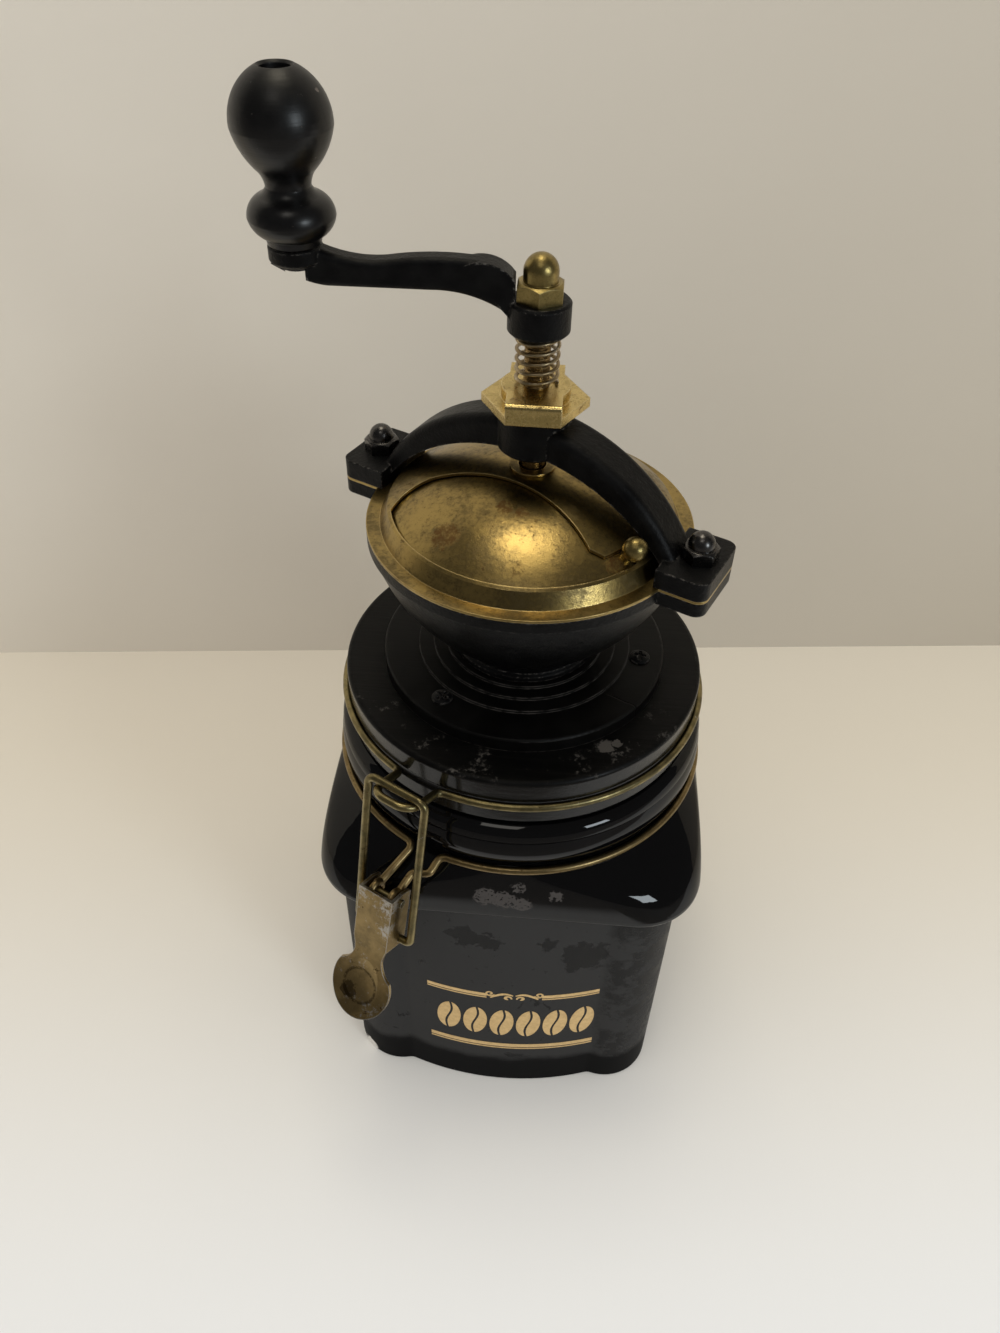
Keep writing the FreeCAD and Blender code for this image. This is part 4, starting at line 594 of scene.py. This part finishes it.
# %% Draw the lines and the scrolls
LABEL_START, LABEL_END = -23.5, 31.3
LABEL_MIDDLE = (LABEL_START + LABEL_END) / 2
TOP_LINE, LOW_LINE = 54.8, 23.8
LOW_START, LOW_END = LABEL_START + 0.6, LABEL_END - 0.3
TOP_PAIR = ((0.5, 1.5), (-1.0, 0.55))
LOW_PAIR = ((0.6, 1.9), (-1.2, 0.6))
SCROLL_HALF = 8.6


def level_line(start, end, level):
    """The path of a straight stroke."""
    return lambda share: (start + share * (end - start), level)


def curl(across, level, size, turns, way):
    """The path of a spiral that opens towards the way's side."""
    def path(share):
        angle = share * turns * 2 * math.pi
        radius = size * (0.25 + 0.75 * share)
        return (across - way * radius * math.sin(angle), level - radius * math.cos(angle))
    return path


def add_scroll(drawing, way):
    """Add the scroll on one side of the label's middle."""
    def arch(share):
        return (LABEL_MIDDLE + way * (7.4 - 7.0 * share),
                TOP_LINE - 0.9 + 2.6 * math.sin(share * math.pi * 0.75))

    add_stroke(drawing, curl(LABEL_MIDDLE + way * 7.6, TOP_LINE + 1.5, 1.5, 1.2, way), 0.6)
    add_stroke(drawing, arch, lambda share: 0.45 + 0.6 * math.sin(share * math.pi))
    add_stroke(drawing, curl(LABEL_MIDDLE + way * 2.1, TOP_LINE - 0.6, 1.3, 0.8, -way),
               lambda share: 0.5 + 0.7 * (1 - share))


strokes = bmesh.new()
for start, end in ((LABEL_START, LABEL_MIDDLE - SCROLL_HALF), (LABEL_MIDDLE + SCROLL_HALF, LABEL_END)):
    for rise, width in TOP_PAIR:
        add_stroke(strokes, level_line(start, end, TOP_LINE + rise), width)
for rise, width in LOW_PAIR:
    add_stroke(strokes, level_line(LOW_START, LOW_END, LOW_LINE + rise), width)
for way in (-1, 1):
    add_scroll(strokes, way)
gilt_piece("label_lines", strokes)

# %% [markdown]
# The beans: an oval from bmesh.ops.create_circle, whose points are pushed to one side of an S-shaped slit.
# Two such halves make a bean, and six beans a row.

# %% Draw the row of beans
BEAN_COUNT, BEAN_STEP = 6, 8.5
BEAN_WIDTH, BEAN_HEIGHT = 7.6, 15.8
BEAN_LEVEL = 38.8
ROW_MIDDLE = LABEL_MIDDLE + 0.6


def add_bean(drawing, across, level):
    """Add one bean as two halves on either side of the slit."""
    for side in (-1, 1):
        half = bmesh.ops.create_circle(drawing, cap_ends=True, segments=48, radius=1)["verts"]
        for vertex in half:
            x, y = vertex.co.x, vertex.co.y
            slit = 0.18 * math.sin(y * math.pi) + side * 0.1
            x = max(x, slit) if side > 0 else min(x, slit)
            vertex.co = Vector((across + x * BEAN_WIDTH / 2 + y * 0.5, level + y * BEAN_HEIGHT / 2, 0))
        thicken(drawing, half)


beans = bmesh.new()
for step in range(BEAN_COUNT):
    add_bean(beans, ROW_MIDDLE + (step - (BEAN_COUNT - 1) / 2) * BEAN_STEP, BEAN_LEVEL)
gilt_piece("label_beans", beans)

# %% [markdown]
# ## Floor and wall
#
# The mill stands on a pale board in front of a beige wall. The wall has one side only: from behind it is see
# through, so that the back view isn't blocked. It is low enough for the ceiling lamp to shine over it. The
# table ends just in front of the picture, and the room beyond is dim: that is why the blacks that face the
# camera stay deep. Only reflections are told so, and every view still has its pale floor.

# %% Build the stage
def stage_plane(name, corners, finish):
    """A flat four-cornered piece that is not part of the object."""
    plane = bmesh.new()
    plane.faces.new([plane.verts.new(corner) for corner in corners])
    mesh = bpy.data.meshes.new(name)
    plane.to_mesh(mesh)
    plane.free()
    mesh.materials.append(finish.material)
    piece = bpy.data.objects.new(name, mesh)
    bpy.context.scene.collection.objects.link(piece)
    print("stage piece", name)


# The wall meets the floor along a line that runs a little askew to the jar. All of these are metres.
WALL_PLACE, WALL_SLOPE, WALL_HEIGHT = 0.169, 0.114, 0.65
FAR = 4


def at_wall(x, z=0.0):
    """The point of the wall at that place across and height."""
    return (x, WALL_PLACE + WALL_SLOPE * x, z)


board = Finish("pale_board", specular_ior_level=0.2)
x, y = board.axes("XY")
ribs = board.noise((1.6, 200, 1000), 2, 0.5)
far = (y - x * 0.1).ramp(-200, 120)
pale = board.mix(far, (0.752, 0.772, 0.8), (0.715, 0.665, 0.57))
# Seen only in reflections, the floor is painted dark from just in front of the picture on: painted shade for
# the dim room beyond the table's end.
dim_room_in_reflections = y.ramp(-140, -170) * board.node("LightPath", output="Is Glossy Ray")
board.feed_shader(base_color=board.mix(dim_room_in_reflections, pale, (0.2, 0.19, 0.18)), roughness=0.6 + ribs * 0.1)
board.relief(ribs, 0.02)
stage_plane("floor", ((-FAR, -FAR, 0), (FAR, -FAR, 0), at_wall(FAR), at_wall(-FAR)), board)
stage_plane("floor_behind", (at_wall(-FAR), at_wall(FAR), (FAR, FAR, 0), (-FAR, FAR, 0)), board)

plaster = Finish("beige_wall", specular_ior_level=0.1)
[x] = plaster.axes("X")
cloudy = plaster.noise(250, 3, 0.5) * 200 - 100
# The wall's colour darkens from left to right: painted shade, as though less light reached its right side.
painted_shade_rightwards = (x + cloudy).ramp(-350, 400)
plaster.feed_shader(base_color=plaster.mix(painted_shade_rightwards, (0.63, 0.59, 0.52), (0.43, 0.39, 0.325)),
                    roughness=0.9, alpha=1 - plaster.node("NewGeometry", output="Backfacing"))
wall_top = (at_wall(FAR, WALL_HEIGHT), at_wall(-FAR, WALL_HEIGHT))
stage_plane("wall", (at_wall(-FAR), at_wall(FAR), *wall_top), plaster)

# %% [markdown]
# ## Light
#
# Three soft lamps light the mill. The broad one on the ceiling puts the glowing patch on the brass cover, a
# faint one over the camera lifts the nuts and the spring, and the cool one in the window, in front and to the
# right, gives the bright marks on the shoulder and the faint shadow behind to the left. An area lamp's size
# sets how soft both its shadow and its reflection are, so each has the size that its reflection needs.

# %% Hang the lamps
def lamp(name, place, aim, size, power, colour):
    """A soft lamp at a place, turned to what it aims at."""
    light = bpy.data.lights.new(name, "AREA")
    light.shape = "RECTANGLE"
    light.size, light.size_y = size
    light.energy = power
    light.color = colour
    item = bpy.data.objects.new(name, light)
    bpy.context.scene.collection.objects.link(item)
    item.location = place
    item.rotation_mode = "QUATERNION"
    item.rotation_quaternion = (Vector(aim) - Vector(place)).to_track_quat("-Z", "Y")
    print(name, "lamp of", power, "W")


lamp("ceiling", (-0.05, 0.19, 1.2), (0, 0, 0.15), (0.36, 0.36), 2.3, (1.0, 0.91, 0.72))
lamp("hall", (-0.1, -0.58, 1.29), (0, 0, 0.15), (0.34, 0.34), 0.95, (1.0, 0.95, 0.86))
lamp("window", (0.8, -0.77, 0.57), (0, 0, 0.1), (0.26, 0.3), 3.0, (0.86, 0.95, 1.0))

# %% [markdown]
# The room behind the camera is dark, and that is what keeps black things black: a reflection only shows what
# is bright. Yet it is light enough to lift all shadows. One world does both, because it is told whether the
# ray that asks is a reflection.

# %% Light the room
ROOM_LIGHT, MIRRORED_LIGHT = 0.99, 0.09

world = bpy.data.worlds.new("room")
bpy.context.scene.world = world
world.use_nodes = True
room = Nodes(world.node_tree)
mirrored = room.node("LightPath", output="Is Glossy Ray")
background = room.tree.nodes["Background"]
background.inputs["Color"].default_value = (1.0, 0.97, 0.93, 1)
room.feed(background.inputs["Strength"], ROOM_LIGHT - mirrored * (ROOM_LIGHT - MIRRORED_LIGHT))
bpy.context.scene.view_settings.view_transform = "Standard"
print("room light", ROOM_LIGHT, "and", MIRRORED_LIGHT, "in reflections")

# %% [markdown]
# ## Close
#
